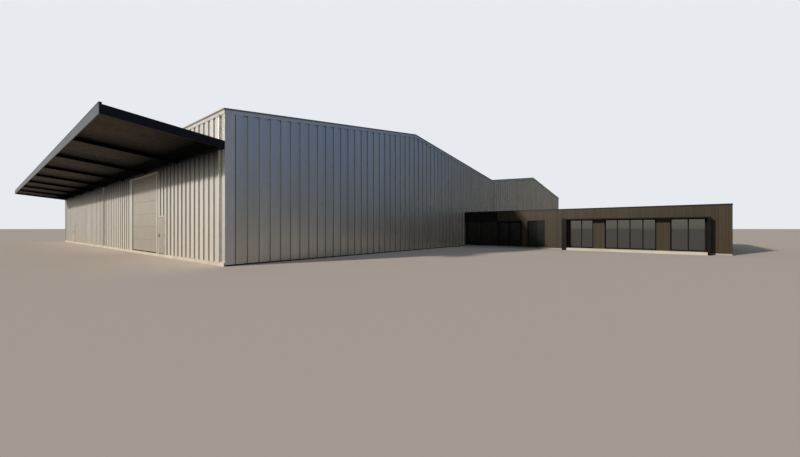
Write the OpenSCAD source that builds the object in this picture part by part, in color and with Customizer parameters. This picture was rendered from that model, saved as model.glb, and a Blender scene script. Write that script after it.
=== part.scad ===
// Twin-gable factory hall with a long side canopy and a low office wing, as a 1:2 scale model.
// Millimetres, +Z up. The plan is drawn from the near hall corner: X runs along the gable
// front, Y runs back along the canopy wall. place() then centres the whole on its footprint.

/* [Hall] */
// Width of one of the two equal gables
gable_w = 13500; // [12800:100:14500]
// Length of the hall along the canopy wall
hall_len = 20800; // [20400:100:23000]
// Height of the capping at the eaves and at the valley
eave_h = 3320; // [3200:10:3500]
// Height of the capping at both ridges
ridge_h = 4230; // [3900:10:4600]
// Thickness of the clad walls, from rib face to lining
wall_t = 100; // [80:5:130]
// Height of the floor slab and of the kerb above ground
slab_h = 75; // [60:5:100]
// How far the kerb stands out of the canopy wall
kerb_proud = 25; // [10:5:40]
// Height of the dark gap under the other walls
drip_h = 30; // [20:5:45]
// How far the strip in that gap stands back
drip_back = 45; // [35:5:60]

/* [Cladding] */
// Distance from rib to rib
rib_pitch = 270; // [240:5:320]
// Width of a raised band at its foot
rib_w = 176; // [140:2:200]
// Depth of a rib
rib_d = 28; // [16:1:32]
// Width of a rib's sloping side
rib_slope = 8; // [4:1:20]
// Place of the first rib from the corner, on the gable walls
front_rib = 220; // [210:5:480]
// Place of the first rib from the corner, on the long walls
side_rib = 285; // [210:5:480]
// Width of the folded corner flashing
corner_w = 210; // [150:5:215]

/* [Roof] */
// Thickness of the roof with its lining
roof_t = 60; // [50:5:85]
// Height of the roof ribs
roof_rib_h = 25; // [15:1:30]
// Width of a roof rib at its foot
roof_rib_w = 60; // [40:2:90]
// Height of the dark lip round the roof edge
lip_h = 36; // [26:1:46]
// How far the lip stands out of the walls
lip_out = 24; // [18:1:34]
// Height of the band under the lip
band_h = 74; // [60:2:90]
// How far the band stands out of the walls
band_t = 12; // [6:1:16]
// Width of the capping where it lies on the roof along the gables
barge_top = 120; // [80:5:160]
// Width of the capping's top along the eaves
eave_top = 40; // [20:5:60]
// Thickness of folded sheet flashings
sheet_t = 6; // [4:1:8]
// Half width of the ridge capping
ridge_cap_w = 160; // [100:5:220]
// Half width of the valley gutter
valley_w = 70; // [50:5:90]
// Radius of the round downpipes
pipe_r = 20; // [15:1:30]
// Gap between a downpipe and the wall it is strapped to
pipe_gap = 10; // [8:1:20]
// Place of the middle downpipe on the long walls
pipe_mid_y = 10870; // [9000:10:12000]

/* [Frames] */
// Depth of the columns, across the hall
col_w = 150; // [120:5:180]
// Width of column and rafter flanges
flange_w = 90; // [70:5:110]
// Thickness of flanges and webs
flange_t = 10; // [8:1:14]
// Thickness of the column base plates
base_t = 14; // [10:1:20]
// How far a base plate stands out beside its column
base_lap = 35; // [20:5:50]
// Depth of a rafter along its run
rafter_d = 200; // [160:5:240]
// Extra depth of the haunch at a column
haunch_d = 170; // [120:5:220]
// Length of the haunch along the rafter
haunch_len = 1500; // [1200:50:2000]

/* [Doors] */
// Place of the hinge edge of the near personnel door
person_y = 3675; // [3600:5:3685]
// Place of the hinge edge of the far personnel door
person_far_y = 17590; // [17000:10:17590]
// Width of the personnel door leaf
person_w = 475; // [450:5:480]
// Height of the personnel door leaf
person_h = 1030; // [1000:5:1060]
// Thickness of a door leaf
leaf_t = 24; // [20:1:30]
// Clearance round a door leaf
leaf_gap = 7; // [6:0.5:9]
// Width of a metal door frame
frame_w = 33; // [25:1:40]
// Place of the loading door
load_y = 4375; // [4365:5:4450]
// Width of the loading door
load_w = 2450; // [2300:10:2500]
// Height of the loading door's opening above ground
load_h = 2400; // [2200:10:2410]
// Height of one section of the loading door
section_h = 388; // [300:2:450]
// Thickness of the loading door
load_t = 40; // [30:1:50]
// Setback of the loading door behind the rib faces
load_back = 12; // [8:1:20]
// Width of the trim on the near side of the loading door
trim_near = 100; // [60:5:110]
// Width of the trim on the far side of the loading door
trim_far = 300; // [200:5:320]
// How far the trims stand out of the rib faces
trim_proud = 4; // [2:0.5:6]
// Height of the head trim
head_trim = 45; // [30:1:50]

/* [Canopy] */
// How far the canopy reaches out
canopy_out = 2000; // [1700:10:2300]
// Height of the canopy top at the wall
canopy_h = 2635; // [2620:5:2750]
// Height of the canopy top at its outer edge
canopy_edge_h = 2850; // [2750:5:2950]
// Depth of the canopy edge
canopy_d = 170; // [150:5:185]
// Number of bays along the canopy
canopy_bays = 8; // [6:1:10]
// Thickness of the deck sheet
deck_t = 26; // [20:1:34]
// Depth of the soffit's underside below the canopy top
soffit_drop = 115; // [90:5:130]
// Thickness of the soffit lining
soffit_t = 12; // [8:1:16]
// Thickness of the fascia plates
fascia_t = 14; // [10:1:20]
// Height of the cap on the canopy edge
canopy_cap_h = 26; // [16:1:36]
// Width of the beam flanges
beam_w = 64; // [44:2:84]
// Thickness of beam webs and flanges
beam_t = 10; // [8:1:14]
// Width of the plates welded to the beam ends
end_plate_w = 90; // [86:2:110]
// Depth of the wall channel behind the beams
ledger_w = 32; // [28:1:50]

/* [Office] */
// Place of the office front, from the near hall corner
office_x = 10550; // [10200:10:11000]
// Depth of the office behind its front
office_deep = 6000; // [5200:50:7000]
// Height of the office with its capping
office_h = 1530; // [1480:5:1600]
// Thickness of the office walls
office_wall_t = 100; // [80:5:120]
// Height of the office floor
office_floor_h = 50; // [40:5:60]
// Height of the parapet capping
cap_h = 45; // [30:1:55]
// How far the parapet capping stands out
cap_proud = 10; // [6:1:16]
// Thickness of the office roof
office_roof_t = 70; // [50:5:90]
// Depth of the roof below the top of the parapet
parapet_drop = 90; // [70:5:110]
// Height of all window and door heads
head_h = 1105; // [1070:5:1130]
// Height of the window sills above ground
sill_h = 100; // [85:5:130]
// Thickness of the glass
glass_t = 8; // [6:1:12]
// Width of window bars and frames, seen from the front
bar_w = 22; // [16:1:30]
// Depth of window bars and frames
bar_d = 45; // [30:1:55]
// Setback of the window frames behind the front
bar_back = 25; // [15:1:35]
// How far the black window surround stands out
surround_out = 330; // [250:10:400]
// Thickness of the surround's hall-side blade
blade_a = 150; // [120:5:180]
// Thickness of the surround's end blade
blade_b = 70; // [50:5:100]
// Thickness of the surround's head board
surround_head = 40; // [30:1:50]

// Place of the single window, from the hall
single_y = 2810; // [2700:10:2900]
// Width of the single window
single_w = 645; // [560:5:720]
// Place of the window group in the surround, from the hall
ribbon_y = 4345; // [4250:5:4450]
// Width of the first window of the group
ribbon_w1 = 765; // [700:5:800]
// Width of the middle window of the group
ribbon_w2 = 1430; // [1350:5:1480]
// Width of the last window of the group
ribbon_w3 = 840; // [760:5:880]
// Width of the clad piers between the windows
ribbon_pier = 370; // [320:5:390]
// Space between the hall-side blade and the first window
reveal_a = 45; // [30:5:80]
// Space between the last window and the end blade
reveal_b = 15; // [10:5:60]
// Width of the clad wall between the end blade and the office corner
end_pier = 485; // [300:5:700]
// Depth of the plinth's top under the window sills
sill_lap = 15; // [5:5:30]

/* [Entrance] */
// Width of the fixed glass beside the entrance doors
screen_w = 1500; // [1400:10:1560]
// Width of one entrance door leaf
entry_w = 480; // [450:5:490]
// Setback of the entrance behind the office front
entry_back = 60; // [40:5:70]
// Width of a leaf's stiles
stile_w = 40; // [30:1:50]
// Width of the frame posts beside the entrance doors
post_w = 50; // [40:1:60]
// Length of a door pull
pull_len = 300; // [200:10:400]

/* [Hidden] */
$fn = 32;

// A hair of room between solids of one node that would otherwise touch
joint_gap = 0.6;
// Clearance where one piece lies on another along a slope
seat = 0.3;
// Wall straps of the downpipes, their outlet boxes, and the room left between pipe and canopy
strap_h = 24;
strap_lap = 4;
outlet_h = 60;
pipe_clear = 6;
hall_w = 2 * gable_w;
slope = (ridge_h - eave_h) / (gable_w / 2);
pitch_angle = atan(slope);
// The four roof slopes of one end as [start, end]
gable_slopes = [for (x = [0, gable_w], k = [0, 1])
    [x + k * gable_w / 2 + joint_gap, x + (k + 1) * gable_w / 2 - joint_gap]];
// Height of the plane under the roof at the eaves, and of the long walls' top under the gutters
under_eave = eave_h - sheet_t - roof_rib_h - roof_t;
wall_top = ceil(under_eave + slope * wall_t);
// Foot of the band round the roof edge, at the eaves
band_foot = eave_h - lip_h - band_h;
// Top of the office walls, under their capping
parapet_h = office_h - cap_h;
office_x2 = office_x + office_deep;
// Windows as [start, end, bars]: the single one, then the group of three in the black surround
single_win = [single_y, single_y + single_w, 1];
ribbon_y2 = ribbon_y + ribbon_w1 + ribbon_pier;
ribbon_y3 = ribbon_y2 + ribbon_w2 + ribbon_pier;
ribbon_end = ribbon_y3 + ribbon_w3;
ribbon = [[ribbon_y, ribbon_y + ribbon_w1, 1], [ribbon_y2, ribbon_y2 + ribbon_w2, 3],
    [ribbon_y3, ribbon_end, 1]];
// Hall-side face of each blade of the surround
blade_low = ribbon_y - reveal_a - blade_a;
blade_high = ribbon_end + reveal_b;
office_len = blade_high + blade_b + end_pier;
// How far a downpipe's outlet box stands out of the wall
pipe_out = 2 * pipe_r + pipe_gap + strap_lap;
// Footprint, used to put the origin at its centre
x_low = -canopy_out;
x_high = hall_w + max(lip_out, pipe_out);
y_low = -office_len - cap_proud;
y_high = hall_len + max(lip_out, pipe_out);
// The two unseen office sides repeat the wide window, evenly spaced
function even_wins(len, n) = [for (k = [0 : n - 1])
    let (gap = (len - n * ribbon_w2) / (n + 1), y = gap + k * (gap + ribbon_w2))
        [y, y + ribbon_w2, 3]];
end_wins = even_wins(office_deep, 2);
rear_wins = even_wins(office_len, 3);
// Doorways in the canopy wall as [start, end], with their frames or trims
function doorway(y) = [y - leaf_gap - frame_w, y + person_w + leaf_gap + frame_w];
near_way = doorway(person_y);
far_way = doorway(person_far_y);
load_way = [load_y - trim_near, load_y + load_w + trim_far];
load_top = load_h + head_trim;
leaf_foot = slab_h + leaf_gap;
door_head = leaf_foot + person_h + leaf_gap + frame_w;
// Entrance: the two leaves stand between posts, beside the fixed screen
entry_low = screen_w + post_w;
entry_high = entry_low + 2 * entry_w + 3 * leaf_gap;
entry_end = entry_high + post_w;
entry_foot = office_floor_h + leaf_gap;
entry_top = head_h - post_w / 2;
leaf_h = entry_top - leaf_gap - entry_foot;
entry_face = office_x + entry_back;
screen_mid = screen_w / 2;
// Lift-off hinges: two knuckles on one axis, just outside the leaf's face and near its edge
knuckle_r = 6;
knuckle_h = 32;
knuckle_gap = 0.3;
arm_t = 4;
arm_pad = 16;
axis_out = knuckle_r + 0.4;
axis_in = 5;
// Share of a leaf's height left below the lowest hinge and above the highest
hinge_end = 0.15;
// Lever handles: plate, neck and lever
lever_plate = [5, 24, 120];
lever_neck_r = 7;
lever_out = 32;
lever_bar = [10, 72, 16];
// Distance of the lever's neck from the lock edge
lever_in = 40;
// Entrance pulls: radius of the bar and of its pins, how far it stands out, pins from its ends
pull_r = 8;
pull_pin_r = 5;
pull_out = 30;
pull_pin_in = 20;
// Height of the bottom rail of an entrance leaf
foot_rail = 1.5 * stile_w;
canopy_pitch = (hall_len - fascia_t) / canopy_bays;
canopy_slope = (canopy_edge_h - canopy_h) / canopy_out;
beam_ys = [for (k = [1 : canopy_bays - 1]) fascia_t / 2 + k * canopy_pitch];
// Portal frames stand behind the canopy beams, but for those whose base plate meets a doorway
plate_half = flange_w / 2 + base_lap;
frame_ys = [for (y = beam_ys)
    if (len([for (w = [near_way, load_way, far_way])
        if (y > w[0] - plate_half && y < w[1] + plate_half) w]) == 0) y];

cladding_grey = [0.56, 0.56, 0.55];
canopy_black = [0.07, 0.07, 0.08];
office_bronze = [0.24, 0.2, 0.17];
concrete = [0.78, 0.74, 0.68];
pale_metal = [0.75, 0.74, 0.7];
glass_tint = [0.35, 0.42, 0.46];

// Moves a plan drawn from the near corner to the centre of the footprint
module place() {
    translate([-(x_low + x_high) / 2, -(y_low + y_high) / 2, 0]) children();
}

// A box between two corners
module block(low, high) {
    translate(low) cube([high[0] - low[0], high[1] - low[1], high[2] - low[2]]);
}

// Height of a plane that follows both gables, at distance x from the canopy wall
function gable_z(x, eave) =
    eave + slope * min(x, abs(x - gable_w), hall_w - x);

// Outer line of ribbed sheeting from a to b: u runs along the wall, depth 0 is the rib face.
// A rib that meets a or b is cut there, and left out where too little of it would stay.
function rib_line(a, b, first, pitch, w, side, depth) = [
    for (k = [floor((a - first - w) / pitch) : ceil((b - first) / pitch)])
        let (u = first + k * pitch, v = u + w)
        if (min(v, b) - max(u, a) > 3 * side)
            each concat(
                u > a ? [[u, depth], [u + side, 0]] : [[a, depth], [a, 0]],
                v < b ? [[v - side, 0], [v, depth]] : [[b, 0], [b, depth]])
];

// Plan of a clad wall from a to b, ribbed between lo and hi, lining at wall_t
function clad_plan(a, b, lo, hi, first) =
    let (ribs = rib_line(lo, hi, first, rib_pitch, rib_w, rib_slope, rib_d),
        start = [a, rib_d], end = [b, rib_d],
        cut_start = len(ribs) > 0 && ribs[0] == start,
        cut_end = len(ribs) > 0 && ribs[len(ribs) - 1] == end)
    concat([[a, wall_t]], cut_start ? [] : [start],
        [for (p = ribs) if (p != start && p != end) p],
        cut_end ? [] : [end], [[b, wall_t]]);

// One clad gable in the plane y = 0, from x = a over its peak to x = b
module gable(a, peak, b, lo, hi) {
    intersection() {
        linear_extrude(ridge_h) polygon(clad_plan(a, b, lo, hi, front_rib));
        translate([0, wall_t + 1, 0]) rotate([90, 0, 0]) linear_extrude(wall_t + 2)
            polygon(concat([[a, drip_h], [b, drip_h]],
                [for (x = [b, peak, a]) [x, gable_z(x, under_eave)]]));
    }
}

// Both gables of one end, which meet at the valley
module gable_wall() {
    b = gable_w - joint_gap;
    c = gable_w + joint_gap;
    gable(rib_d, gable_w / 2, b, corner_w, b);
    gable(c, 1.5 * gable_w, hall_w - rib_d, c, hall_w - corner_w);
}

// A stretch of clad wall in the plane x = 0, from y = a to y = b
module long_wall(a, b, lo, hi, foot, top) {
    translate([0, 0, foot]) linear_extrude(top - foot)
        polygon([for (p = clad_plan(a, b, lo, hi, side_rib)) [p[1], p[0]]]);
}

// Mirrors its children to the far long wall
module to_right() {
    translate([hall_w, 0, 0]) mirror([1, 0, 0]) children();
}

// Mirrors its children to the back gable
module to_back() {
    translate([0, hall_len, 0]) mirror([0, 1, 0]) children();
}

module on_both_sides() {
    children();
    to_right() children();
}

module on_both_ends() {
    children();
    to_back() children();
}

module hall_floor() {
    color(concrete) place()
        block([wall_t, wall_t, 0], [hall_w - wall_t, hall_len - wall_t, slab_h]);
}

// Kerb of the canopy wall, stepped in where the gable walls and corner flashings come down
module left_kerb() {
    far = hall_len - rib_d;
    back = hall_len - wall_t;
    color(concrete) place() linear_extrude(slab_h)
        polygon([[-kerb_proud, 0], [0, 0], [0, rib_d], [rib_d, rib_d], [rib_d, wall_t],
            [wall_t, wall_t], [wall_t, back], [rib_d, back], [rib_d, far], [0, far],
            [0, hall_len], [-kerb_proud, hall_len]]);
}

// The dark strip that the other three walls stand on
module base_strip() {
    back = hall_len - drip_back;
    side = hall_w - drip_back;
    color(canopy_black) place() {
        block([drip_back, drip_back, 0], [side, wall_t - joint_gap, drip_h]);
        block([drip_back, hall_len - wall_t + joint_gap, 0], [side, back, drip_h]);
        block([hall_w - wall_t, wall_t, 0], [side, hall_len - wall_t, drip_h]);
    }
}

module front_gable_wall() {
    color(cladding_grey) place() gable_wall();
}

module back_gable_wall() {
    color(cladding_grey) place() to_back() gable_wall();
}

module right_wall() {
    color(cladding_grey) place() to_right()
        long_wall(wall_t, hall_len - wall_t, corner_w, hall_len - corner_w, drip_h, wall_top);
}

// Full-height stretches of the canopy wall between its doorways
module left_wall_panels() {
    far_end = hall_len - corner_w;
    color(cladding_grey) place() {
        long_wall(wall_t, near_way[0], corner_w, near_way[0], slab_h, wall_top);
        long_wall(near_way[1], load_way[0], near_way[1], load_way[0], slab_h, wall_top);
        long_wall(load_way[1], far_way[0], load_way[1], far_way[0], slab_h, wall_top);
        long_wall(far_way[1], hall_len - wall_t, far_way[1], far_end, slab_h, wall_top);
    }
}

// The wall over each doorway
module left_wall_lintels() {
    color(cladding_grey) place() {
        for (w = [near_way, far_way]) long_wall(w[0], w[1], w[0], w[1], door_head, wall_top);
        long_wall(load_way[0], load_way[1], load_way[0], load_way[1], load_top, wall_top);
    }
}

// One folded corner, which fills the rib depth at the ends of two walls and clears the roof
module corner_flashing(side_foot) {
    block([0, 0, drip_h], [corner_w, rib_d, wall_top - 1]);
    block([0, 0, side_foot], [rib_d, corner_w, wall_top]);
}

module corner_flashings() {
    color(cladding_grey) place() on_both_ends() {
        corner_flashing(slab_h);
        to_right() corner_flashing(drip_h);
    }
}

// A strip along one gable slope from x = a to x = b, between two depths under the roof edge
module slope_strip(a, b, upper, lower, front, back) {
    translate([0, back, 0]) rotate([90, 0, 0]) linear_extrude(back - front)
        polygon([[a, gable_z(a, eave_h) - upper], [b, gable_z(b, eave_h) - upper],
            [b, gable_z(b, eave_h) - lower], [a, gable_z(a, eave_h) - lower]]);
}

// The plain band under the lip, up the gables and along the eaves
module roof_edge_bands() {
    color(cladding_grey) place() {
        on_both_ends() for (s = gable_slopes)
            slope_strip(s[0], s[1], lip_h + seat, lip_h + band_h, -band_t, 0);
        on_both_sides()
            block([-band_t, -band_t, band_foot], [0, hall_len + band_t, eave_h - lip_h - seat]);
    }
}

// Folded cappings: a lip on the face and a leg that lies on the roof or on the gutter's edge
module roof_edge_cappings() {
    lap = 1;
    leg_start = barge_top + joint_gap;
    color(canopy_black) place() {
        on_both_ends() for (s = gable_slopes) {
            slope_strip(s[0], s[1], 0, lip_h, -lip_out, 0);
            slope_strip(s[0], s[1], 0, sheet_t, -lap, barge_top);
        }
        on_both_sides() {
            block([-lip_out, -lip_out, eave_h - lip_h], [0, hall_len + lip_out, eave_h]);
            block([-lap, leg_start, eave_h - sheet_t], [eave_top, hall_len - leg_start, eave_h]);
        }
    }
}

// A channel on top of a long wall, hidden behind the band and the lip, open on top
module eave_gutter() {
    top = eave_h - sheet_t;
    inner_top = wall_top + roof_t;
    floor_top = wall_top + sheet_t;
    inner = wall_t - sheet_t;
    rotate([90, 0, 0]) translate([0, 0, -hall_len]) linear_extrude(hall_len)
        polygon([[0, wall_top], [wall_t, wall_top], [wall_t, inner_top], [inner, inner_top],
            [inner, floor_top], [sheet_t, floor_top], [sheet_t, top], [0, top]]);
}

module valley_gutter() {
    foot = under_eave + slope * valley_w;
    top = foot + roof_t;
    inner = valley_w - sheet_t;
    translate([gable_w, hall_len, 0]) rotate([90, 0, 0]) linear_extrude(hall_len)
        polygon([[-valley_w, foot], [valley_w, foot], [valley_w, top], [inner, top],
            [inner, foot + sheet_t], [-inner, foot + sheet_t], [-inner, top],
            [-valley_w, top]]);
}

module roof_gutters() {
    color(pale_metal) place() {
        on_both_sides() eave_gutter();
        valley_gutter();
    }
}

// One ribbed roof slope that rises along +X from x = a to the ridge at x = b
module roof_slope(a, b) {
    // Thicknesses are measured plumb, so they shrink by the cosine when laid on the slope
    flat = (roof_t - seat) * cos(pitch_angle);
    far = hall_len - seat;
    rib = (roof_rib_h - seat) * cos(pitch_angle);
    // The ribs are spaced evenly between one under each end capping
    first = (barge_top - roof_rib_w) / 2;
    span = hall_len - 2 * first - roof_rib_w;
    pitch = span / round(span / rib_pitch);
    outline = concat(
        [[seat, 0], [seat, flat]],
        [for (p = rib_line(0, hall_len, first, pitch, roof_rib_w, roof_rib_w / 4, rib))
            [p[0], flat + rib - p[1]]],
        [[far, flat], [far, 0]]
    );
    spare = 100;
    intersection() {
        translate([a, 0, under_eave + seat + slope * a]) rotate([0, -pitch_angle, 0])
            translate([-spare, 0, 0]) rotate([90, 0, 90])
                linear_extrude((b - a) / cos(pitch_angle) + 2 * spare) polygon(outline);
        block([a, -1, 0], [b, hall_len + 1, 2 * ridge_h]);
    }
}

module roof_slopes() {
    ridge = gable_w / 2 - joint_gap;
    color(cladding_grey) place() on_both_sides() {
        roof_slope(wall_t, ridge);
        translate([gable_w, 0, 0]) mirror([1, 0, 0]) roof_slope(valley_w, ridge);
    }
}

// A folded cap over one ridge, resting on the roof ribs between the two end cappings
module ridge_cap(x) {
    top = ridge_h;
    drop = slope * ridge_cap_w;
    translate([x, hall_len - barge_top, 0]) rotate([90, 0, 0])
        linear_extrude(hall_len - 2 * barge_top)
            polygon([[-ridge_cap_w, top - drop - sheet_t], [0, top - sheet_t],
                [ridge_cap_w, top - drop - sheet_t], [ridge_cap_w, top - drop],
                [0, top], [-ridge_cap_w, top - drop]]);
}

module ridge_caps() {
    color(cladding_grey) place() {
        ridge_cap(gable_w / 2);
        ridge_cap(1.5 * gable_w);
    }
}

// A round pipe with wall straps, in front of the wall plane x = 0
module pipe(y, foot, top, straps) {
    pipe_x = pipe_r + pipe_gap;
    half = pipe_r + strap_lap;
    translate([-pipe_x, y, foot]) cylinder(r = pipe_r, h = top - foot);
    for (k = [1 : straps]) {
        z = foot + k * (top - foot) / (straps + 1);
        block([-pipe_x, y - half, z], [0, y + half, z + strap_h]);
    }
}

// A pipe that hangs from an outlet box under the roof edge
module roof_pipe(y, foot, straps) {
    half = pipe_r + strap_lap;
    pipe(y, foot, band_foot - outlet_h / 2, straps);
    block([-pipe_out, y - half, band_foot - outlet_h], [0, y + half, band_foot]);
}

// Pipe that stands on a gable wall at the valley
module valley_pipe(foot, straps) {
    translate([gable_w, 0, 0]) rotate([0, 0, 90]) roof_pipe(0, foot, straps);
}

module downpipes() {
    over_canopy = canopy_h + canopy_slope * pipe_out + pipe_clear;
    under_canopy = canopy_h - canopy_d - pipe_clear;
    end_y = corner_w - pipe_r - strap_lap;
    color(pale_metal) place() {
        for (y = [end_y, pipe_mid_y, hall_len - end_y]) {
            roof_pipe(y, over_canopy, 1);
            pipe(y, slab_h + drip_h, under_canopy, 3);
            to_right() roof_pipe(y, drip_h, 3);
        }
        valley_pipe(office_h - parapet_drop + 2 * pipe_gap, 2);
        to_back() valley_pipe(drip_h, 3);
    }
}

// Height of a column top, under its haunch
column_top = under_eave - rafter_d - haunch_d;

// An H-section post on a base plate, web across the hall
module column(x, y) {
    translate([x - col_w / 2, y - flange_w / 2 - base_lap, slab_h])
        cube([col_w, flange_w + 2 * base_lap, base_t]);
    translate([x - col_w / 2, y, slab_h]) linear_extrude(column_top - slab_h) {
        translate([0, -flange_w / 2]) square([flange_t, flange_w]);
        translate([col_w - flange_t, -flange_w / 2]) square([flange_t, flange_w]);
        translate([0, -flange_t / 2]) square([col_w, flange_t]);
    }
}

module frame_columns() {
    color(cladding_grey) place()
        for (y = frame_ys, x = [wall_t + col_w / 2, gable_w, hall_w - wall_t - col_w / 2])
            column(x, y);
}

// A haunched I-section rafter rising along +X from its bearing on a column to the ridge
module rafter(start, bearing, y) {
    ridge = gable_w / 2 - joint_gap;
    top_a = under_eave + slope * start;
    top_b = under_eave + slope * ridge;
    knee = start + haunch_len;
    low_knee = under_eave + slope * knee - rafter_d;
    low_b = top_b - rafter_d;
    web = [[start, column_top], [start + bearing, column_top], [knee, low_knee], [ridge, low_b],
        [ridge, top_b], [start, top_a]];
    top_flange = [[start, top_a], [start, top_a - flange_t], [ridge, top_b - flange_t],
        [ridge, top_b]];
    low_flange = [[start, column_top], [start + bearing, column_top], [knee, low_knee],
        [ridge, low_b], [ridge, low_b + flange_t], [knee, low_knee + flange_t],
        [start + bearing, column_top + flange_t], [start, column_top + flange_t]];
    translate([0, y, 0]) rotate([90, 0, 0]) {
        translate([0, 0, -flange_t / 2]) linear_extrude(flange_t) polygon(web);
        translate([0, 0, -flange_w / 2]) linear_extrude(flange_w) polygon(top_flange);
        translate([0, 0, -flange_w / 2]) linear_extrude(flange_w) polygon(low_flange);
    }
}

module frame_rafters() {
    color(cladding_grey) place()
        for (y = frame_ys) {
            rafter(wall_t, col_w, y);
            translate([gable_w, 0, 0]) mirror([1, 0, 0]) rafter(joint_gap, col_w / 2, y);
            translate([gable_w, 0, 0]) rafter(joint_gap, col_w / 2, y);
            to_right() rafter(wall_t, col_w, y);
        }
}

// A flush sectional door, with a groove where two sections meet
module loading_door() {
    groove = 6;
    count = floor((load_h - slab_h - section_h / 2) / section_h);
    seams = [for (k = [1 : count])
        let (z = slab_h + k * section_h)
            each [[load_back, z - groove], [load_back + groove, z], [load_back, z + groove]]];
    color(pale_metal) place()
        translate([0, load_y + load_w, 0]) rotate([90, 0, 0]) linear_extrude(load_w)
            polygon(concat([[load_back + load_t, slab_h], [load_back, slab_h]], seams,
                [[load_back, load_h], [load_back + load_t, load_h]]));
}

// Jambs and head of the loading door, through the whole wall
module loading_door_trims() {
    color(cladding_grey) place() {
        block([-trim_proud, load_way[0], slab_h], [wall_t, load_y, load_h]);
        block([-trim_proud, load_y + load_w, slab_h], [wall_t, load_way[1], load_h]);
        block([-trim_proud, load_way[0], load_h + joint_gap], [wall_t, load_way[1], load_top]);
    }
}

// Upper half of a hinge, on a leaf whose face is x = 0 and whose hinge edge is y = 0
module leaf_knuckle() {
    translate([-axis_out, axis_in, knuckle_gap / 2]) {
        cylinder(r = knuckle_r, h = knuckle_h);
        block([0, -arm_t / 2, 0], [axis_out + 1, arm_t / 2, knuckle_h]);
    }
}

// Lower half of that hinge, on a pad on the frame beside the leaf
module frame_knuckle() {
    translate([-axis_out, 0, -knuckle_gap / 2 - knuckle_h]) {
        translate([0, axis_in, 0]) cylinder(r = knuckle_r, h = knuckle_h);
        block([-arm_t / 2, -leaf_gap - arm_pad, 0], [arm_t / 2, axis_in, knuckle_h]);
        block([-arm_t / 2, -leaf_gap - arm_pad, 0], [axis_out + 1, -leaf_gap, knuckle_h]);
    }
}

// Heights of the n hinges on a leaf of height h
function hinge_heights(foot, h, n) = [for (k = [0 : n - 1])
    foot + h * (hinge_end + (1 - 2 * hinge_end) * k / (n - 1))];

module personnel_frame(y) {
    way = doorway(y);
    low = way[0] + frame_w;
    high = way[1] - frame_w;
    block([-trim_proud, way[0], slab_h], [wall_t, low, door_head]);
    block([-trim_proud, high, slab_h], [wall_t, way[1], door_head]);
    block([-trim_proud, low + joint_gap, door_head - frame_w],
        [wall_t, high - joint_gap, door_head]);
    for (z = hinge_heights(leaf_foot, person_h, 3))
        translate([-trim_proud, y, z]) frame_knuckle();
}

module personnel_door_frames() {
    color(pale_metal) place() {
        personnel_frame(person_y);
        personnel_frame(person_far_y);
    }
}

module personnel_leaf(y) {
    block([-trim_proud, y, leaf_foot], [leaf_t - trim_proud, y + person_w, leaf_foot + person_h]);
    for (z = hinge_heights(leaf_foot, person_h, 3))
        translate([-trim_proud, y, z]) leaf_knuckle();
}

module near_personnel_door() {
    color(pale_metal) place() personnel_leaf(person_y);
}

module far_personnel_door() {
    color(pale_metal) place() personnel_leaf(person_far_y);
}

// A lever on its plate, standing out of the face x = 0 towards -X
module lever_handle() {
    bar_in = lever_out - lever_bar[0];
    block([-lever_plate[0], -lever_plate[1] / 2, -lever_plate[2] / 2],
        [0, lever_plate[1] / 2, lever_plate[2] / 2]);
    translate([-bar_in - 1, 0, 0]) rotate([0, 90, 0])
        cylinder(r = lever_neck_r, h = bar_in + 1 - lever_plate[0] / 2);
    block([-lever_out, lever_neck_r - lever_bar[1], -lever_bar[2] / 2],
        [-bar_in, lever_neck_r, lever_bar[2] / 2]);
}

// Lever handles on both faces of a leaf
module lever_pair(y) {
    lever_y = y + person_w - lever_in;
    z = leaf_foot + person_h / 2;
    translate([-trim_proud, lever_y, z]) lever_handle();
    translate([leaf_t - trim_proud, lever_y, z]) mirror([1, 0, 0]) lever_handle();
}

module near_door_handle() {
    color(canopy_black) place() lever_pair(person_y);
}

module far_door_handle() {
    color(canopy_black) place() lever_pair(person_far_y);
}

// Elevation of a sloping canopy piece between two distances out and two depths under the top
function canopy_band(near, far, upper, lower) = [
    [-near, canopy_h + canopy_slope * near - upper], [-far, canopy_h + canopy_slope * far - upper],
    [-far, canopy_h + canopy_slope * far - lower], [-near, canopy_h + canopy_slope * near - lower]
];

// A plate in the canopy's elevation, from y - t / 2 to y + t / 2
module canopy_plate(y, t, points) {
    translate([0, y + t / 2, 0]) rotate([90, 0, 0]) linear_extrude(t) polygon(points);
}

// I-section cantilever beams between the wall channel and the outer fascia, with end plates
module canopy_beams() {
    far = canopy_out - fascia_t;
    top = deck_t + seat;
    color(canopy_black) place() for (y = beam_ys) {
        canopy_plate(y, beam_t, canopy_band(ledger_w, far, top, canopy_d));
        canopy_plate(y, beam_w, canopy_band(ledger_w, far, top, top + beam_t));
        canopy_plate(y, beam_w, canopy_band(ledger_w, far, canopy_d - beam_t, canopy_d));
        canopy_plate(y, end_plate_w, canopy_band(ledger_w, ledger_w + beam_t, top, canopy_d));
        canopy_plate(y, end_plate_w, canopy_band(far - beam_t, far, top, canopy_d));
    }
}

// A channel along the wall that the beams are bolted to
module canopy_ledger() {
    top = canopy_h - deck_t - seat;
    foot = canopy_h - canopy_d;
    color(canopy_black) place()
        translate([0, hall_len - fascia_t, 0]) rotate([90, 0, 0])
            linear_extrude(hall_len - 2 * fascia_t)
                polygon([[0, foot], [0, foot + beam_t], [beam_t - ledger_w, foot + beam_t],
                    [beam_t - ledger_w, top - beam_t], [0, top - beam_t], [0, top],
                    [-ledger_w, top + canopy_slope * ledger_w], [-ledger_w, foot]]);
}

module canopy_fascia() {
    foot = canopy_edge_h - canopy_slope * fascia_t - canopy_d;
    color(pale_metal) place()
        block([-canopy_out, 0, foot], [-canopy_out + fascia_t, hall_len, canopy_edge_h]);
}

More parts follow.
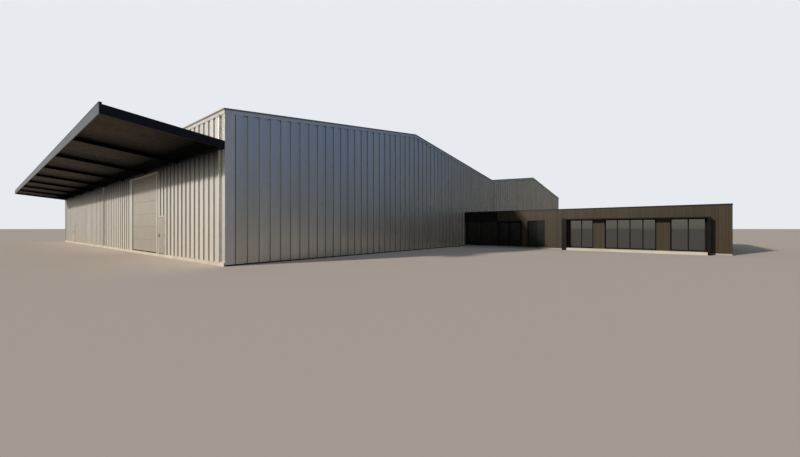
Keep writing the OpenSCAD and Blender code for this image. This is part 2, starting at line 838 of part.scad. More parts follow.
module canopy_end_fascias() {
    band = canopy_band(0, canopy_out - fascia_t, 0, canopy_d);
    color(canopy_black) place() {
        canopy_plate(fascia_t / 2, fascia_t, band);
        canopy_plate(hall_len - fascia_t / 2, fascia_t, band);
    }
}

module canopy_deck() {
    color(cladding_grey) place()
        translate([0, hall_len - fascia_t, 0]) rotate([90, 0, 0])
            linear_extrude(hall_len - 2 * fascia_t)
                polygon(canopy_band(0, canopy_out - fascia_t, 0, deck_t));
}

// Lining panels that hang between the webs of the beams
module canopy_soffit() {
    near = ledger_w + beam_t + seat;
    band = canopy_band(near, canopy_out - fascia_t - beam_t - seat,
        soffit_drop - soffit_t, soffit_drop);
    half_web = beam_t / 2 + seat;
    lows = concat([fascia_t + seat], [for (y = beam_ys) y + half_web]);
    highs = concat([for (y = beam_ys) y - half_web], [hall_len - fascia_t - seat]);
    color(office_bronze) place() for (k = [0 : canopy_bays - 1])
        canopy_plate((lows[k] + highs[k]) / 2, highs[k] - lows[k], band);
}

// A dark cap along the outer edge
module canopy_capping() {
    color(canopy_black) place()
        block([-canopy_out, 0, canopy_edge_h],
            [-canopy_out + 3 * fascia_t, hall_len, canopy_edge_h + canopy_cap_h]);
}

module office_floor() {
    color(concrete) place()
        block([office_x, -office_len, 0], [office_x2, 0, office_floor_h]);
}

// Cuts each window of a list through a wall in the plane x = 0, y running along the wall
module window_cuts(wins) {
    for (w = wins)
        block([-1, w[0], sill_h], [office_wall_t + 1, w[1], head_h]);
}

// Puts a wall drawn along +Y in the plane x = 0 into the office front
module to_front() {
    translate([office_x, 0, 0]) mirror([0, 1, 0]) children();
}

// The same for the end wall, whose length runs along +X
module to_end() {
    translate([office_x, -office_len, 0]) rotate([0, 0, 90]) mirror([0, 1, 0]) children();
}

// The same for the rear wall
module to_rear() {
    translate([office_x2, 0, 0]) rotate([0, 0, 180]) children();
}

module office_front_wall() {
    color(office_bronze) place() to_front() difference() {
        block([0, entry_end, office_floor_h], [office_wall_t, office_len, parapet_h]);
        window_cuts(concat([single_win], ribbon));
    }
}

module office_entrance_lintel() {
    color(office_bronze) place() to_front()
        block([0, 0, head_h], [office_wall_t, entry_end, parapet_h]);
}

// Black panel over the fixed entrance screen
module screen_fascia() {
    color(canopy_black) place() to_front()
        block([-sheet_t, 0, head_h], [0, entry_low, parapet_h]);
}

module office_end_wall() {
    color(office_bronze) place() to_end() difference() {
        block([0, office_wall_t, office_floor_h],
            [office_wall_t, office_deep - office_wall_t, parapet_h]);
        window_cuts(end_wins);
    }
}

module office_rear_wall() {
    color(office_bronze) place() to_rear() difference() {
        block([0, 0, office_floor_h], [office_wall_t, office_len, parapet_h]);
        window_cuts(rear_wins);
    }
}

module office_roof() {
    top = office_h - parapet_drop;
    color(canopy_black) place()
        block([office_x + office_wall_t, -office_len + office_wall_t, top - office_roof_t],
            [office_x2 - office_wall_t, 0, top]);
}

// Flat capping on the parapets, in three lengths that butt at the corners
module office_capping() {
    inner = office_wall_t + cap_proud;
    color(canopy_black) place() {
        block([office_x - cap_proud, -office_len - cap_proud, parapet_h],
            [office_x + inner, 0, office_h]);
        block([office_x2 - inner, -office_len - cap_proud, parapet_h],
            [office_x2 + cap_proud, 0, office_h]);
        block([office_x + inner + joint_gap, -office_len - cap_proud, parapet_h],
            [office_x2 - inner - joint_gap, -office_len + inner, office_h]);
    }
}

// Black box surround of the window ribbon: two blades and a head board
module window_surround() {
    top = head_h + surround_head;
    color(canopy_black) place() to_front() {
        block([-surround_out, blade_low, 0], [0, blade_low + blade_a, top]);
        block([-surround_out, blade_high, 0], [0, blade_high + blade_b, top]);
        block([-surround_out, blade_low + blade_a + joint_gap, head_h],
            [0, blade_high - joint_gap, top]);
    }
}

// Pale plinth under the ribbon, between the blades
module window_plinth() {
    color(concrete) place() to_front()
        block([-surround_out + cap_proud, blade_low + blade_a, 0],
            [0, blade_high, sill_h - sill_lap]);
}

// Frame and bars of one window, in the plane x = 0
module window_frame(w) {
    bay = (w[1] - w[0]) / (w[2] + 1);
    translate([bar_back, 0, 0]) difference() {
        block([0, w[0], sill_h], [bar_d, w[1], head_h]);
        for (k = [0 : w[2]])
            block([-1, w[0] + k * bay + bar_w, sill_h + bar_w],
                [bar_d + 1, w[0] + (k + 1) * bay - (k < w[2] ? 0 : bar_w), head_h - bar_w]);
    }
}

module all_windows() {
    to_front() for (w = concat([single_win], ribbon)) window_frame(w);
    to_end() for (w = end_wins) window_frame(w);
    to_rear() for (w = rear_wins) window_frame(w);
}

module window_frames() {
    color(canopy_black) place() all_windows();
}

// A pane in each bay of one window
module window_panes(w) {
    bay = (w[1] - w[0]) / (w[2] + 1);
    x = bar_back + (bar_d - glass_t) / 2;
    for (k = [0 : w[2]])
        block([x, w[0] + k * bay + bar_w, sill_h + bar_w],
            [x + glass_t, w[0] + (k + 1) * bay - (k < w[2] ? 0 : bar_w), head_h - bar_w]);
}

module window_glass() {
    color(glass_tint, 0.5) place() {
        to_front() for (w = concat([single_win], ribbon)) window_panes(w);
        to_end() for (w = end_wins) window_panes(w);
        to_rear() for (w = rear_wins) window_panes(w);
    }
}

// One rail or bar of the entrance frame, a hair clear of what it butts against
module entrance_bar(a, b, low, high) {
    block([entry_back, a + joint_gap, low + joint_gap],
        [entry_back + bar_d, b - joint_gap, high - joint_gap]);
}

// Posts, heads, sill and bar round the fixed screen and the two doors
module entrance_frame() {
    x = entry_back;
    foot = office_floor_h;
    color(canopy_black) place() to_front() {
        block([x, 0, foot], [x + bar_d, post_w, head_h]);
        block([x, screen_w, foot], [x + bar_d, entry_low, head_h]);
        block([x, entry_high, foot], [x + bar_d, entry_end, head_h]);
        entrance_bar(post_w, screen_w, entry_top, head_h);
        entrance_bar(entry_low, entry_high, entry_top, head_h);
        entrance_bar(post_w, screen_w, foot, foot + bar_w);
        entrance_bar(screen_mid - bar_w / 2, screen_mid + bar_w / 2, foot + bar_w, entry_top);
    }
    color(canopy_black) place() for (z = hinge_heights(entry_foot, leaf_h, 2)) {
        left_leaf() translate([0, 0, z]) frame_knuckle();
        right_leaf() translate([0, 0, z]) frame_knuckle();
    }
}

module entrance_screen_glass() {
    x = entry_back + (bar_d - glass_t) / 2;
    low = office_floor_h + bar_w;
    color(glass_tint, 0.5) place() to_front() {
        block([x, post_w, low], [x + glass_t, screen_mid - bar_w / 2, entry_top]);
        block([x, screen_mid + bar_w / 2, low], [x + glass_t, screen_w, entry_top]);
    }
}

// A framed glass leaf drawn from its hinge edge at y = 0, with its knuckles and a pull bar
module entry_leaf() {
    top = entry_foot + leaf_h;
    difference() {
        block([0, 0, entry_foot], [leaf_t, entry_w, top]);
        block([-1, stile_w, entry_foot + foot_rail],
            [leaf_t + 1, entry_w - stile_w, top - stile_w]);
    }
    for (z = hinge_heights(entry_foot, leaf_h, 2)) translate([0, 0, z]) leaf_knuckle();
    pull_y = entry_w - stile_w / 2;
    mid = (entry_foot + top) / 2;
    reach = pull_len / 2 - pull_pin_in;
    for (z = [mid - reach, mid + reach])
        translate([-pull_out, pull_y, z]) rotate([0, 90, 0])
            cylinder(r = pull_pin_r, h = pull_out + 1);
    translate([-pull_out, pull_y, mid - pull_len / 2]) cylinder(r = pull_r, h = pull_len);
}

module entry_pane() {
    x = (leaf_t - glass_t) / 2;
    block([x, stile_w, entry_foot + foot_rail],
        [x + glass_t, entry_w - stile_w, entry_foot + leaf_h - stile_w]);
}

// Places a leaf at the hall-side post or at the far post
module left_leaf() {
    translate([entry_face, -entry_low - leaf_gap, 0]) mirror([0, 1, 0]) children();
}

module right_leaf() {
    translate([entry_face, -entry_high + leaf_gap, 0]) children();
}

module entrance_door_left() {
    color(canopy_black) place() left_leaf() entry_leaf();
}

module entrance_left_glass() {
    color(glass_tint, 0.5) place() left_leaf() entry_pane();
}

module entrance_door_right() {
    color(canopy_black) place() right_leaf() entry_leaf();
}

module entrance_right_glass() {
    color(glass_tint, 0.5) place() right_leaf() entry_pane();
}

hall_floor();
left_kerb();
base_strip();
front_gable_wall();
back_gable_wall();
right_wall();
left_wall_panels();
left_wall_lintels();
corner_flashings();
roof_edge_bands();
roof_edge_cappings();
roof_gutters();
roof_slopes();
ridge_caps();
downpipes();
frame_columns();
frame_rafters();
loading_door();
loading_door_trims();
personnel_door_frames();
near_personnel_door();
far_personnel_door();
near_door_handle();
far_door_handle();
canopy_beams();
canopy_ledger();
canopy_fascia();
canopy_end_fascias();
canopy_deck();
canopy_soffit();
canopy_capping();
office_floor();
office_front_wall();
office_entrance_lintel();
screen_fascia();
office_end_wall();
office_rear_wall();
office_roof();
office_capping();
window_surround();
window_plinth();
window_frames();
window_glass();
entrance_frame();
entrance_screen_glass();
entrance_door_left();
entrance_left_glass();
entrance_door_right();
entrance_right_glass();
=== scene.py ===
"""Looks of the twin-gable factory hall with its canopy and office wing, in metres.

Places are given from the near hall corner, as in the part's source: x along the gable front,
y back along the canopy wall. at() turns them into the shared frame.
"""

import math

import bmesh
import bpy
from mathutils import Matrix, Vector


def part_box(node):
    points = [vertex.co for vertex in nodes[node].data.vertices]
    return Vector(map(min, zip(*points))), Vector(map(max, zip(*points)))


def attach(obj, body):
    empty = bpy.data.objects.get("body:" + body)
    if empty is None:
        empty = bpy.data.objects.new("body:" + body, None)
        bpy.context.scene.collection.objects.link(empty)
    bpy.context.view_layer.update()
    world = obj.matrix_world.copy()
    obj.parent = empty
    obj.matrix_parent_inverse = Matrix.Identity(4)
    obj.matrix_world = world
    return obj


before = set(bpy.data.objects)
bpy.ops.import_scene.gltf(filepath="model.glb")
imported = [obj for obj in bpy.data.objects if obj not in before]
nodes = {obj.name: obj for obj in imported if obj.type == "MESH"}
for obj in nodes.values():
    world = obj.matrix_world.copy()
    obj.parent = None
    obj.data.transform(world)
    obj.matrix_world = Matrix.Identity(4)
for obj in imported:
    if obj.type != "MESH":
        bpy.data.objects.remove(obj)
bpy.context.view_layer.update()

# Corners of the main pieces, read from the frame
FLASHING_LOW, FLASHING_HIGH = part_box("corner_flashings")
HALL_X, HALL_Y = FLASHING_LOW.x, FLASHING_LOW.y
HALL_W = FLASHING_HIGH.x - HALL_X
HALL_LEN = FLASHING_HIGH.y - HALL_Y
GABLE_W = HALL_W / 2
OFFICE_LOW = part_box("office_front_wall")[0]
SLAB_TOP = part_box("hall_floor")[1].z
X, Y, Z = 0, 1, 2
# Places this close together count as one
NEAR = 0.0005
# Thickness of thin sheet laid on a face
SKIN = 0.0012


def at(x, y, z):
    """A point given from the near hall corner, in the shared frame."""
    return Vector((HALL_X + x, HALL_Y + y, z))


def add_object(name, data):
    """Puts an object into the scene."""
    thing = bpy.data.objects.new(name, data)
    bpy.context.scene.collection.objects.link(thing)
    return thing


# Camera, worked out from the photograph's vanishing points; its place is from the near hall corner
EYE = (-3.2145, -7.279, 0.8067)
YAW = 51.267
FOCAL_PX, WIDTH_PX, SENSOR_MM = 337.256, 800, 36.0
# The horizon lies this many pixels above the middle of the picture
HORIZON_UP_PX = 0.407
CLIP_NEAR, CLIP_FAR = 0.05, 2000


def make_camera():
    data = bpy.data.cameras.new("camera")
    data.sensor_width = SENSOR_MM
    data.lens = FOCAL_PX / WIDTH_PX * SENSOR_MM
    data.shift_y = -HORIZON_UP_PX / WIDTH_PX
    data.clip_start, data.clip_end = CLIP_NEAR, CLIP_FAR
    camera = add_object("camera", data)
    camera.location = at(*EYE)
    camera.rotation_euler = (math.radians(90), 0, -math.radians(YAW))
    bpy.context.scene.camera = camera


# Materials

NOISE_ROUGHNESS = 0.55


class Nodes:
    """A node tree, with short calls for the nodes used here."""

    def __init__(self, tree):
        self.tree = tree

    def add(self, kind, **values):
        node = self.tree.nodes.new(kind)
        for key, value in values.items():
            setattr(node, key, value)
        return node

    def feed(self, socket, value):
        """Sets a socket to a colour or a number, or links it to another node."""
        if isinstance(value, tuple):
            socket.default_value = (*value, 1)
        elif isinstance(value, (int, float)):
            socket.default_value = value
        else:
            self.tree.links.new(value, socket)

    def math(self, operation, *values):
        node = self.add("ShaderNodeMath", operation=operation)
        for socket, value in zip(node.inputs, values):
            self.feed(socket, value)
        return node.outputs[0]

    def span(self, value, low, high, to_low=0.0, to_high=1.0):
        """Maps what lies between low and high to between to_low and to_high."""
        node = self.add("ShaderNodeMapRange")
        self.feed(node.inputs["Value"], value)
        ends = {"From Min": low, "From Max": high, "To Min": to_low, "To Max": to_high}
        for key, number in ends.items():
            node.inputs[key].default_value = number
        return node.outputs["Result"]

    def component(self, vector, name):
        node = self.add("ShaderNodeSeparateXYZ")
        self.feed(node.inputs["Vector"], vector)
        return node.outputs[name]

    def choose(self, factor, a, b):
        """Shader a where the factor is 0, shader b where it is 1."""
        node = self.add("ShaderNodeMixShader")
        for socket, value in zip(node.inputs, (factor, a, b)):
            self.feed(socket, value)
        return node.outputs[0]


class Material(Nodes):
    """The node tree of a new material."""

    def __init__(self, name):
        self.material = bpy.data.materials.new(name)
        self.material.use_nodes = True
        super().__init__(self.material.node_tree)
        self.shader = self.tree.nodes["Principled BSDF"]
        self.out = self.tree.nodes["Material Output"]

    def place(self, scale=(1, 1, 1)):
        """Object coordinates, which are metres of the shared frame, times a scale."""
        node = self.add("ShaderNodeMapping")
        node.inputs["Scale"].default_value = scale
        self.feed(node.inputs["Vector"], self.add("ShaderNodeTexCoord").outputs["Object"])
        return node.outputs["Vector"]

    def axis(self, name):
        return self.component(self.place(), name)

    def normal(self, name):
        """How far a face turns along an axis of the frame, from 0 to 1."""
        normal = self.add("ShaderNodeNewGeometry").outputs["Normal"]
        return self.math("ABSOLUTE", self.component(normal, name))

    def noise(self, scale, detail, stretch=(1, 1, 1)):
        node = self.add("ShaderNodeTexNoise")
        node.inputs["Scale"].default_value = scale
        node.inputs["Detail"].default_value = detail
        node.inputs["Roughness"].default_value = NOISE_ROUGHNESS
        self.feed(node.inputs["Vector"], self.place(stretch))
        return node.outputs["Fac"]

    def pick(self, along, width):
        """A value from 0 to 1 for each strip of this width along an axis."""
        node = self.add("ShaderNodeTexWhiteNoise", noise_dimensions="1D")
        strip = self.math("FLOOR", self.math("DIVIDE", self.axis(along), width))
        self.feed(node.inputs["W"], strip)
        return node.outputs["Value"]

    def blend(self, factor, a, b, mode="MIX"):
        """Colour a where the factor is 0, both mixed in the given way where it is 1."""
        node = self.add("ShaderNodeMix", data_type="RGBA", blend_type=mode)
        # This node has inputs for other kinds of value too; its colours are numbers 6 and 7
        for number, value in ((0, factor), (6, a), (7, b)):
            self.feed(node.inputs[number], value)
        return node.outputs[2]

    def bump(self, height, strength, distance):
        node = self.add("ShaderNodeBump")
        node.inputs["Strength"].default_value = strength
        node.inputs["Distance"].default_value = distance
        self.feed(node.inputs["Height"], height)
        self.feed(self.shader.inputs["Normal"], node.outputs["Normal"])

    def finish(self, color, roughness, metallic=0.0, gloss=0.5):
        values = {"Base Color": color, "Roughness": roughness, "Metallic": metallic,
                  "Specular IOR Level": gloss}
        for key, value in values.items():
            self.feed(self.shader.inputs[key], value)
        return self.material


def toned(color, times, plus=0.0):
    """A colour made lighter or darker."""
    return tuple(times * c + plus for c in color)


# Sheets are four ribs wide, as the part's cladding is spaced
RIB_PITCH, RIBS_A_SHEET = 0.27, 4
SHEET_W = RIBS_A_SHEET * RIB_PITCH
BOARD_PITCH = 0.075
# Dust on the walls, and the heights at which it is full and gone
DUST = (0.72, 0.58, 0.42)
DUST_FULL, DUST_GONE = 0.05, 1.3
# Deep shade at the top of the canopy wall: its colour, and how far down and up it reaches from the
# underside of the wall channel
SHADE = (0.035, 0.042, 0.05)
SHADE_DOWN, SHADE_UP = 0.5, 0.02
# Refraction of plain glass; the windows have more, as they mirror more in the photograph
PLAIN_IOR, WINDOW_IOR = 1.5, 2.7


def clad_metal(name, color, along, rough=(0.22, 0.29), metallic=0.5, painted_fold_shade=0.0, cover=None):
    """Satin ribbed sheet: a tone for each sheet, rain streaks, dust near the ground, soft waves.

    Rough is the range of its roughness, and cover the height of a roof.
    The sides of the ribs get painted shade, as dark as the fold number says; under cover, the
    top of the wall gets painted deep shade.
    """
    n = Material(name)
    tone = n.span(n.pick(along, SHEET_W), 0, 1, 0.95, 1.04)
    streaks = n.span(n.noise(5, 1, (1, 1, 0.06)), 0.3, 0.75, 0.95, 1.03)
    shade = n.math("MULTIPLY", tone, streaks)
    grey = n.add("ShaderNodeCombineColor")
    for socket in grey.inputs[:3]:
        n.feed(socket, shade)
    base = n.blend(1.0, color, grey.outputs[0], "MULTIPLY")
    dusty = tuple(0.4 * c + 0.6 * d for c, d in zip(color, DUST))
    low = n.span(n.axis("Z"), DUST_FULL, DUST_GONE, 1.0, 0.0)
    base = n.blend(n.math("MULTIPLY", low, n.noise(8, 1, (1, 1, 0.3))), base, dusty)
    # Painted shade on the sides of the ribs, the faces that turn along the wall
    base = n.blend(n.span(n.normal(along), 0.4, 0.8, 0.0, painted_fold_shade), base, toned(color, 0.25))
    # Painted deep shade on the top of the wall, below the canopy's wall channel
    if cover is not None:
        height = n.axis("Z")
        below = n.math("LESS_THAN", height, cover + SHADE_UP)
        deep = n.math("MULTIPLY", n.span(height, cover - SHADE_DOWN, cover, 0.0, 0.95), below)
        base = n.blend(deep, base, SHADE)
    n.bump(n.noise(1.2, 0, (1, 1, 0.35)), 0.08, 0.004)
    return n.finish(base, n.span(n.noise(2, 0, (1, 1, 0.2)), 0.3, 0.7, *rough), metallic)


def plain_metal(name, color, roughness, metallic, gloss=0.5):
    """Painted steel or aluminium with faint mottling and a fine orange peel."""
    n = Material(name)
    light = toned(color, 1.1, 0.004)
    base = n.blend(n.span(n.noise(6, 5, (1, 1, 0.4)), 0.3, 0.7), color, light)
    rough = n.span(n.noise(5, 2), 0.3, 0.7, roughness - 0.04, roughness + 0.05)
    n.bump(n.noise(2.0, 0), 0.1, 0.003)
    return n.finish(base, rough, metallic, gloss)


def soffit_sheet(name, outer, inner, far_x, wall_x, first_beam, bay):
    """Matt lining, with painted shade towards the wall and where it runs into each beam."""
    n = Material(name)
    # Painted shade towards the wall, from the lining's own colour, outer, to inner
    deep = n.span(n.axis("X"), far_x, far_x + 0.8 * (wall_x - far_x))
    base = n.blend(deep, outer, inner)
    light = n.blend(deep, toned(outer, 1.5), inner)
    base = n.blend(n.span(n.noise(1.5, 1, (0.5, 1, 1)), 0.35, 0.65), base, light)
    # Painted shade on the part of each bay that runs into the next beam
    along = n.math("FRACT", n.math("DIVIDE", n.math("SUBTRACT", n.axis("Y"), first_beam), bay))
    base = n.blend(n.span(along, 0.5, 0.95, 0.0, 0.95), base, toned(inner, 0.3))
    # The sheen fades out where the shade is painted
    gloss = n.math("MULTIPLY", n.span(deep, 0, 1, 0.12, 0.0), n.span(along, 0.5, 0.95, 1.0, 0.0))
    n.bump(n.noise(3.0, 2), 0.1, 0.003)
    return n.finish(base, n.span(n.noise(12, 4), 0.3, 0.7, 0.5, 0.65), 0.0, gloss)


def cast_concrete(name, color):
    """Cast concrete: broad damp patches, fine grain, and pores."""
    n = Material(name)
    base = n.blend(n.span(n.noise(1.6, 6), 0.35, 0.7), toned(color, 0.78), color)
    base = n.blend(n.span(n.noise(90, 3), 0.35, 0.6, 0.25, 0.0), base, toned(color, 0.6))
    n.bump(n.noise(120, 6), 0.25, 0.002)
    return n.finish(base, n.span(n.noise(20, 3), 0.3, 0.7, 0.75, 0.9))


def membrane(name, color):
    """Roof membrane with puddle marks and a fine grit."""
    n = Material(name)
    base = n.blend(n.span(n.noise(0.9, 6), 0.4, 0.65), color, toned(color, 1.5, 0.01))
    n.bump(n.noise(300, 3), 0.3, 0.001)
    return n.finish(base, n.span(n.noise(3, 4), 0.3, 0.7, 0.6, 0.85))


def bronze_boards(name, color, along):
    """Dark bronze boards: a tone for each board, faint grain, satin sheen."""
    n = Material(name)
    grain = n.noise(60, 5, (1, 1, 0.04))
    tone = n.math("MULTIPLY", n.pick(along, BOARD_PITCH), 0.55)
    mixed = n.math("ADD", tone, n.math("MULTIPLY", grain, 0.5))
    base = n.blend(n.span(mixed, 0.2, 0.85), color, toned(color, 1.45))
    n.bump(grain, 0.12, 0.0008)
    return n.finish(base, n.span(grain, 0.3, 0.7, 0.36, 0.5), 0.0, 0.2)


def tinted_glass(name, tint, clear, ior, dull_from=None):
    """Tinted glazing that mirrors its surroundings and lets some of the room show.

    Panes beyond dull_from along Y mirror less, as they do in the photograph.
    """
    n = Material(name)
    n.finish((0.012, 0.016, 0.018), n.span(n.noise(3, 3), 0.3, 0.7, 0.02, 0.05))
    # The export drops a linked IOR, so the number is set as well
    n.feed(n.shader.inputs["IOR"], ior)
    if dull_from is not None:
        duller = n.span(n.axis("Y"), dull_from, dull_from + 0.01, ior, PLAIN_IOR)
        n.feed(n.shader.inputs["IOR"], duller)
    through = n.add("ShaderNodeBsdfTransparent")
    n.feed(through.inputs["Color"], tint)
    surface = n.choose(clear, n.shader.outputs[0], through.outputs[0])
    n.feed(n.out.inputs["Surface"], surface)
    return n.material


# Mesh building for the small pieces: an outline in one of these planes, drawn out across it


def flat_xz(u, v, w):
    return at(u, w, v)


def flat_yz(u, v, w):
    return at(w, u, v)


def flat_xy(u, v, w):
    return at(u, v, w)


# A hexagon head on its washer of 10 mm: radius and height
SCREW = ((0.005, 0), (0.005, 0.0012), (0.0032, 0.0016), (0.0030, 0.0045))


class Shape:
    """Gathers the faces of one piece."""

    def __init__(self):
        self.verts, self.faces = [], []

    def prism(self, outline, plane, a, b):
        base, count = len(self.verts), len(outline)
        self.verts += [plane(u, v, w) for w in (a, b) for u, v in outline]
        top = base + count
        self.faces += [tuple(range(base, top)), tuple(range(top, top + count))]
        for k in range(count):
            m = (k + 1) % count
            self.faces.append((base + k, base + m, top + m, top + k))

    def bar(self, low, high, plane, a, b, cut=0.001):
        """A bar with a rectangular outline whose corners are cut off."""
        (u0, v0), (u1, v1) = low, high
        self.prism([(u0 + cut, v0), (u1 - cut, v0), (u1, v0 + cut), (u1, v1 - cut), (u1 - cut, v1),
                    (u0 + cut, v1), (u0, v1 - cut), (u0, v0 + cut)], plane, a, b)

    def ring(self, low, high, plane, a, b, width):
        """Four bars round a rectangle, inside it."""
        (u0, v0), (u1, v1) = low, high
        self.bar((u0, v0), (u1, v0 + width), plane, a, b)
        self.bar((u0, v1 - width), (u1, v1), plane, a, b)
        self.bar((u0, v0 + width), (u0 + width, v1 - width), plane, a, b)
        self.bar((u1 - width, v0 + width), (u1, v1 - width), plane, a, b)

    def turned(self, centre, axis, rings, sides=6):
        """Rings of (radius, height) along an axis, closed at both ends."""
        axis = Vector(axis).normalized()
        side = axis.orthogonal().normalized()
        other = axis.cross(side)
        base = len(self.verts)
        for radius, height in rings:
            for k in range(sides):
                turn = math.tau * (k + 0.5) / sides
                self.verts.append(centre + axis * height + side * radius * math.cos(turn)
                                  + other * radius * math.sin(turn))
        for r in range(len(rings) - 1):
            low, high = base + r * sides, base + (r + 1) * sides
            for k in range(sides):
                m = (k + 1) % sides
                self.faces.append((low + k, low + m, high + m, high + k))
        top = base + (len(rings) - 1) * sides
        self.faces += [tuple(range(top, top + sides)), tuple(range(base, base + sides))]

    def screw(self, centre, axis, size=1.0):
        self.turned(centre, axis, [(size * r, size * h) for r, h in SCREW])

    def make(self, name, material, body="building"):
        mesh = bpy.data.meshes.new(name)
        mesh.from_pydata([tuple(v) for v in self.verts], [], self.faces)
        work = bmesh.new()
        work.from_mesh(mesh)
        bmesh.ops.recalc_face_normals(work, faces=work.faces)
        work.to_mesh(mesh)
        work.free()
        mesh.materials.append(materials[material])
        piece = add_object(name, mesh)
        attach(piece, body)


class Solid:
    """One separate solid of a node: its corner points and box, from the near hall corner."""

    def __init__(self, points):
        self.points = points
        self.low = Vector(min(p[k] for p in points) for k in range(3))
        self.high = Vector(max(p[k] for p in points) for k in range(3))
        self.mid = (self.low + self.high) / 2


def solids(name):
    """The separate solids of a node, found by walking its edges."""
    mesh = nodes[name].data
    numbers = {}
    number = [numbers.setdefault(tuple(round(c, 5) for c in v.co), len(numbers))
              for v in mesh.vertices]
    parent = list(range(len(numbers)))

    def root(i):
        while parent[i] != i:
            parent[i] = parent[parent[i]]
            i = parent[i]
        return i

    for edge in mesh.edges:
        a, b = (root(number[v]) for v in edge.vertices)
        parent[a] = b
    groups = {}
    for (x, y, z), i in numbers.items():
        groups.setdefault(root(i), []).append((x - HALL_X, y - HALL_Y, z))
    return sorted((Solid(points) for points in groups.values()), key=lambda s: tuple(s.low))


def spans(values):
    """Sorted distinct values taken two by two."""
    marks = []
    for value in sorted(values):
        if not marks or value - marks[-1] > NEAR:
            marks.append(value)
    return list(zip(marks[0::2], marks[1::2]))


# Finishes

SOFFIT_LOW, SOFFIT_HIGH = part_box("canopy_soffit")
BEAMS = sorted(s.mid.y for s in solids("canopy_beams"))
CLADDING = (0.68, 0.66, 0.62)
TRIM = (0.60, 0.57, 0.52)
BLACK = (0.008, 0.010, 0.015)
BRONZE = (0.041, 0.031, 0.018)

materials = {
    # Painted shade darkens the sides of the ribs on the walls, most on the gables
    "front_clad": clad_metal("front_clad", CLADDING, "X", painted_fold_shade=0.6),
    "side_clad": clad_metal("side_clad", CLADDING, "Y", (0.40, 0.48), 0.3, 0.35),
    # The canopy wall gets painted deep shade below the canopy's wall channel
    "left_clad": clad_metal("left_clad", CLADDING, "Y", (0.40, 0.48), 0.3, 0.35,
                            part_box("canopy_ledger")[0].z),
    "roof_clad": clad_metal("roof_clad", (0.42, 0.42, 0.41), "Y", (0.42, 0.52), 0.35),
    "trim": plain_metal("trim", TRIM, 0.38, 0.25),
    "corner_trim": plain_metal("corner_trim", CLADDING, 0.34, 0.5),
    "dark_lip": plain_metal("dark_lip", (0.27, 0.235, 0.19), 0.33, 0.5),
    "gutter": plain_metal("gutter", (0.58, 0.55, 0.48), 0.35, 0.3),
    "pipe": plain_metal("pipe", (0.56, 0.54, 0.50), 0.35, 0.3),
    "frame_steel": plain_metal("frame_steel", (0.35, 0.36, 0.36), 0.5, 0.1),
    "door_sheet": plain_metal("door_sheet", (0.43, 0.39, 0.34), 0.32, 0.3),
    "canopy_black": plain_metal("canopy_black", BLACK, 0.4, 0.0, 0.15),
    "beam_black": plain_metal("beam_black", toned(BLACK, 0.5), 0.7, 0.0, 0.0),
    "fascia_grey": plain_metal("fascia_grey", (0.105, 0.115, 0.135), 0.4, 0.0, 0.2),
    # The soffit's own brown, and the painted shade it darkens to by the wall
    "soffit": soffit_sheet("soffit", (0.046, 0.031, 0.013), (0.010, 0.012, 0.012), SOFFIT_LOW.x,
                           SOFFIT_HIGH.x, HALL_Y + BEAMS[0], BEAMS[1] - BEAMS[0]),
    "window_black": plain_metal("window_black", (0.007, 0.007, 0.007), 0.35, 0.0, 0.08),
    "concrete": cast_concrete("concrete", (0.46, 0.43, 0.39)),
    "kerb": cast_concrete("kerb", (0.76, 0.69, 0.58)),
    "plinth": cast_concrete("plinth", (0.70, 0.64, 0.55)),
    "membrane": membrane("membrane", (0.06, 0.06, 0.062)),
    "board_front": bronze_boards("board_front", BRONZE, "Y"),
    "board_end": bronze_boards("board_end", BRONZE, "X"),
    "fastener": plain_metal("fastener", (0.50, 0.50, 0.49), 0.3, 0.8),
    "rubber": plain_metal("rubber", (0.012, 0.012, 0.012), 0.7, 0.0, 0.2),
    "glass": tinted_glass("glass", (0.30, 0.34, 0.33), 0.25, WINDOW_IOR,
                          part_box("window_surround")[1].y),
    "entrance_glass": tinted_glass("entrance_glass", (0.26, 0.28, 0.26), 0.45, PLAIN_IOR),
}

FINISH = {
    "hall_floor": "concrete", "left_kerb": "kerb", "base_strip": "canopy_black",
    "front_gable_wall": "front_clad", "back_gable_wall": "front_clad", "right_wall": "side_clad",
    "left_wall_panels": "left_clad", "left_wall_lintels": "left_clad",
    "corner_flashings": "corner_trim", "roof_edge_bands": "corner_trim",
    "roof_edge_cappings": "dark_lip", "roof_gutters": "gutter", "roof_slopes": "roof_clad",
    "ridge_caps": "corner_trim", "downpipes": "pipe", "frame_columns": "frame_steel",
    "frame_rafters": "frame_steel", "loading_door": "door_sheet",
    "loading_door_trims": "corner_trim", "personnel_door_frames": "trim",
    "near_personnel_door": "door_sheet", "far_personnel_door": "door_sheet",
    "near_door_handle": "window_black", "far_door_handle": "window_black",
    "canopy_beams": "beam_black", "canopy_ledger": "canopy_black", "canopy_fascia": "fascia_grey",
    "canopy_end_fascias": "canopy_black", "canopy_deck": "roof_clad", "canopy_soffit": "soffit",
    "canopy_capping": "canopy_black",
    "office_floor": "concrete", "office_front_wall": "board_front",
    "office_entrance_lintel": "board_front", "screen_fascia": "window_black",
    "office_end_wall": "board_end", "office_rear_wall": "board_front", "office_roof": "membrane",
    "office_capping": "canopy_black", "window_surround": "window_black",
    "window_plinth": "plinth", "window_frames": "window_black", "window_glass": "glass",
    "entrance_frame": "window_black", "entrance_screen_glass": "entrance_glass",
    "entrance_door_left": "window_black", "entrance_left_glass": "entrance_glass",
    "entrance_door_right": "window_black", "entrance_right_glass": "entrance_glass",
}


def finish_nodes():
    for name, key in FINISH.items():
        mesh = nodes[name].data
        mesh.materials.clear()
        mesh.materials.append(materials[key])


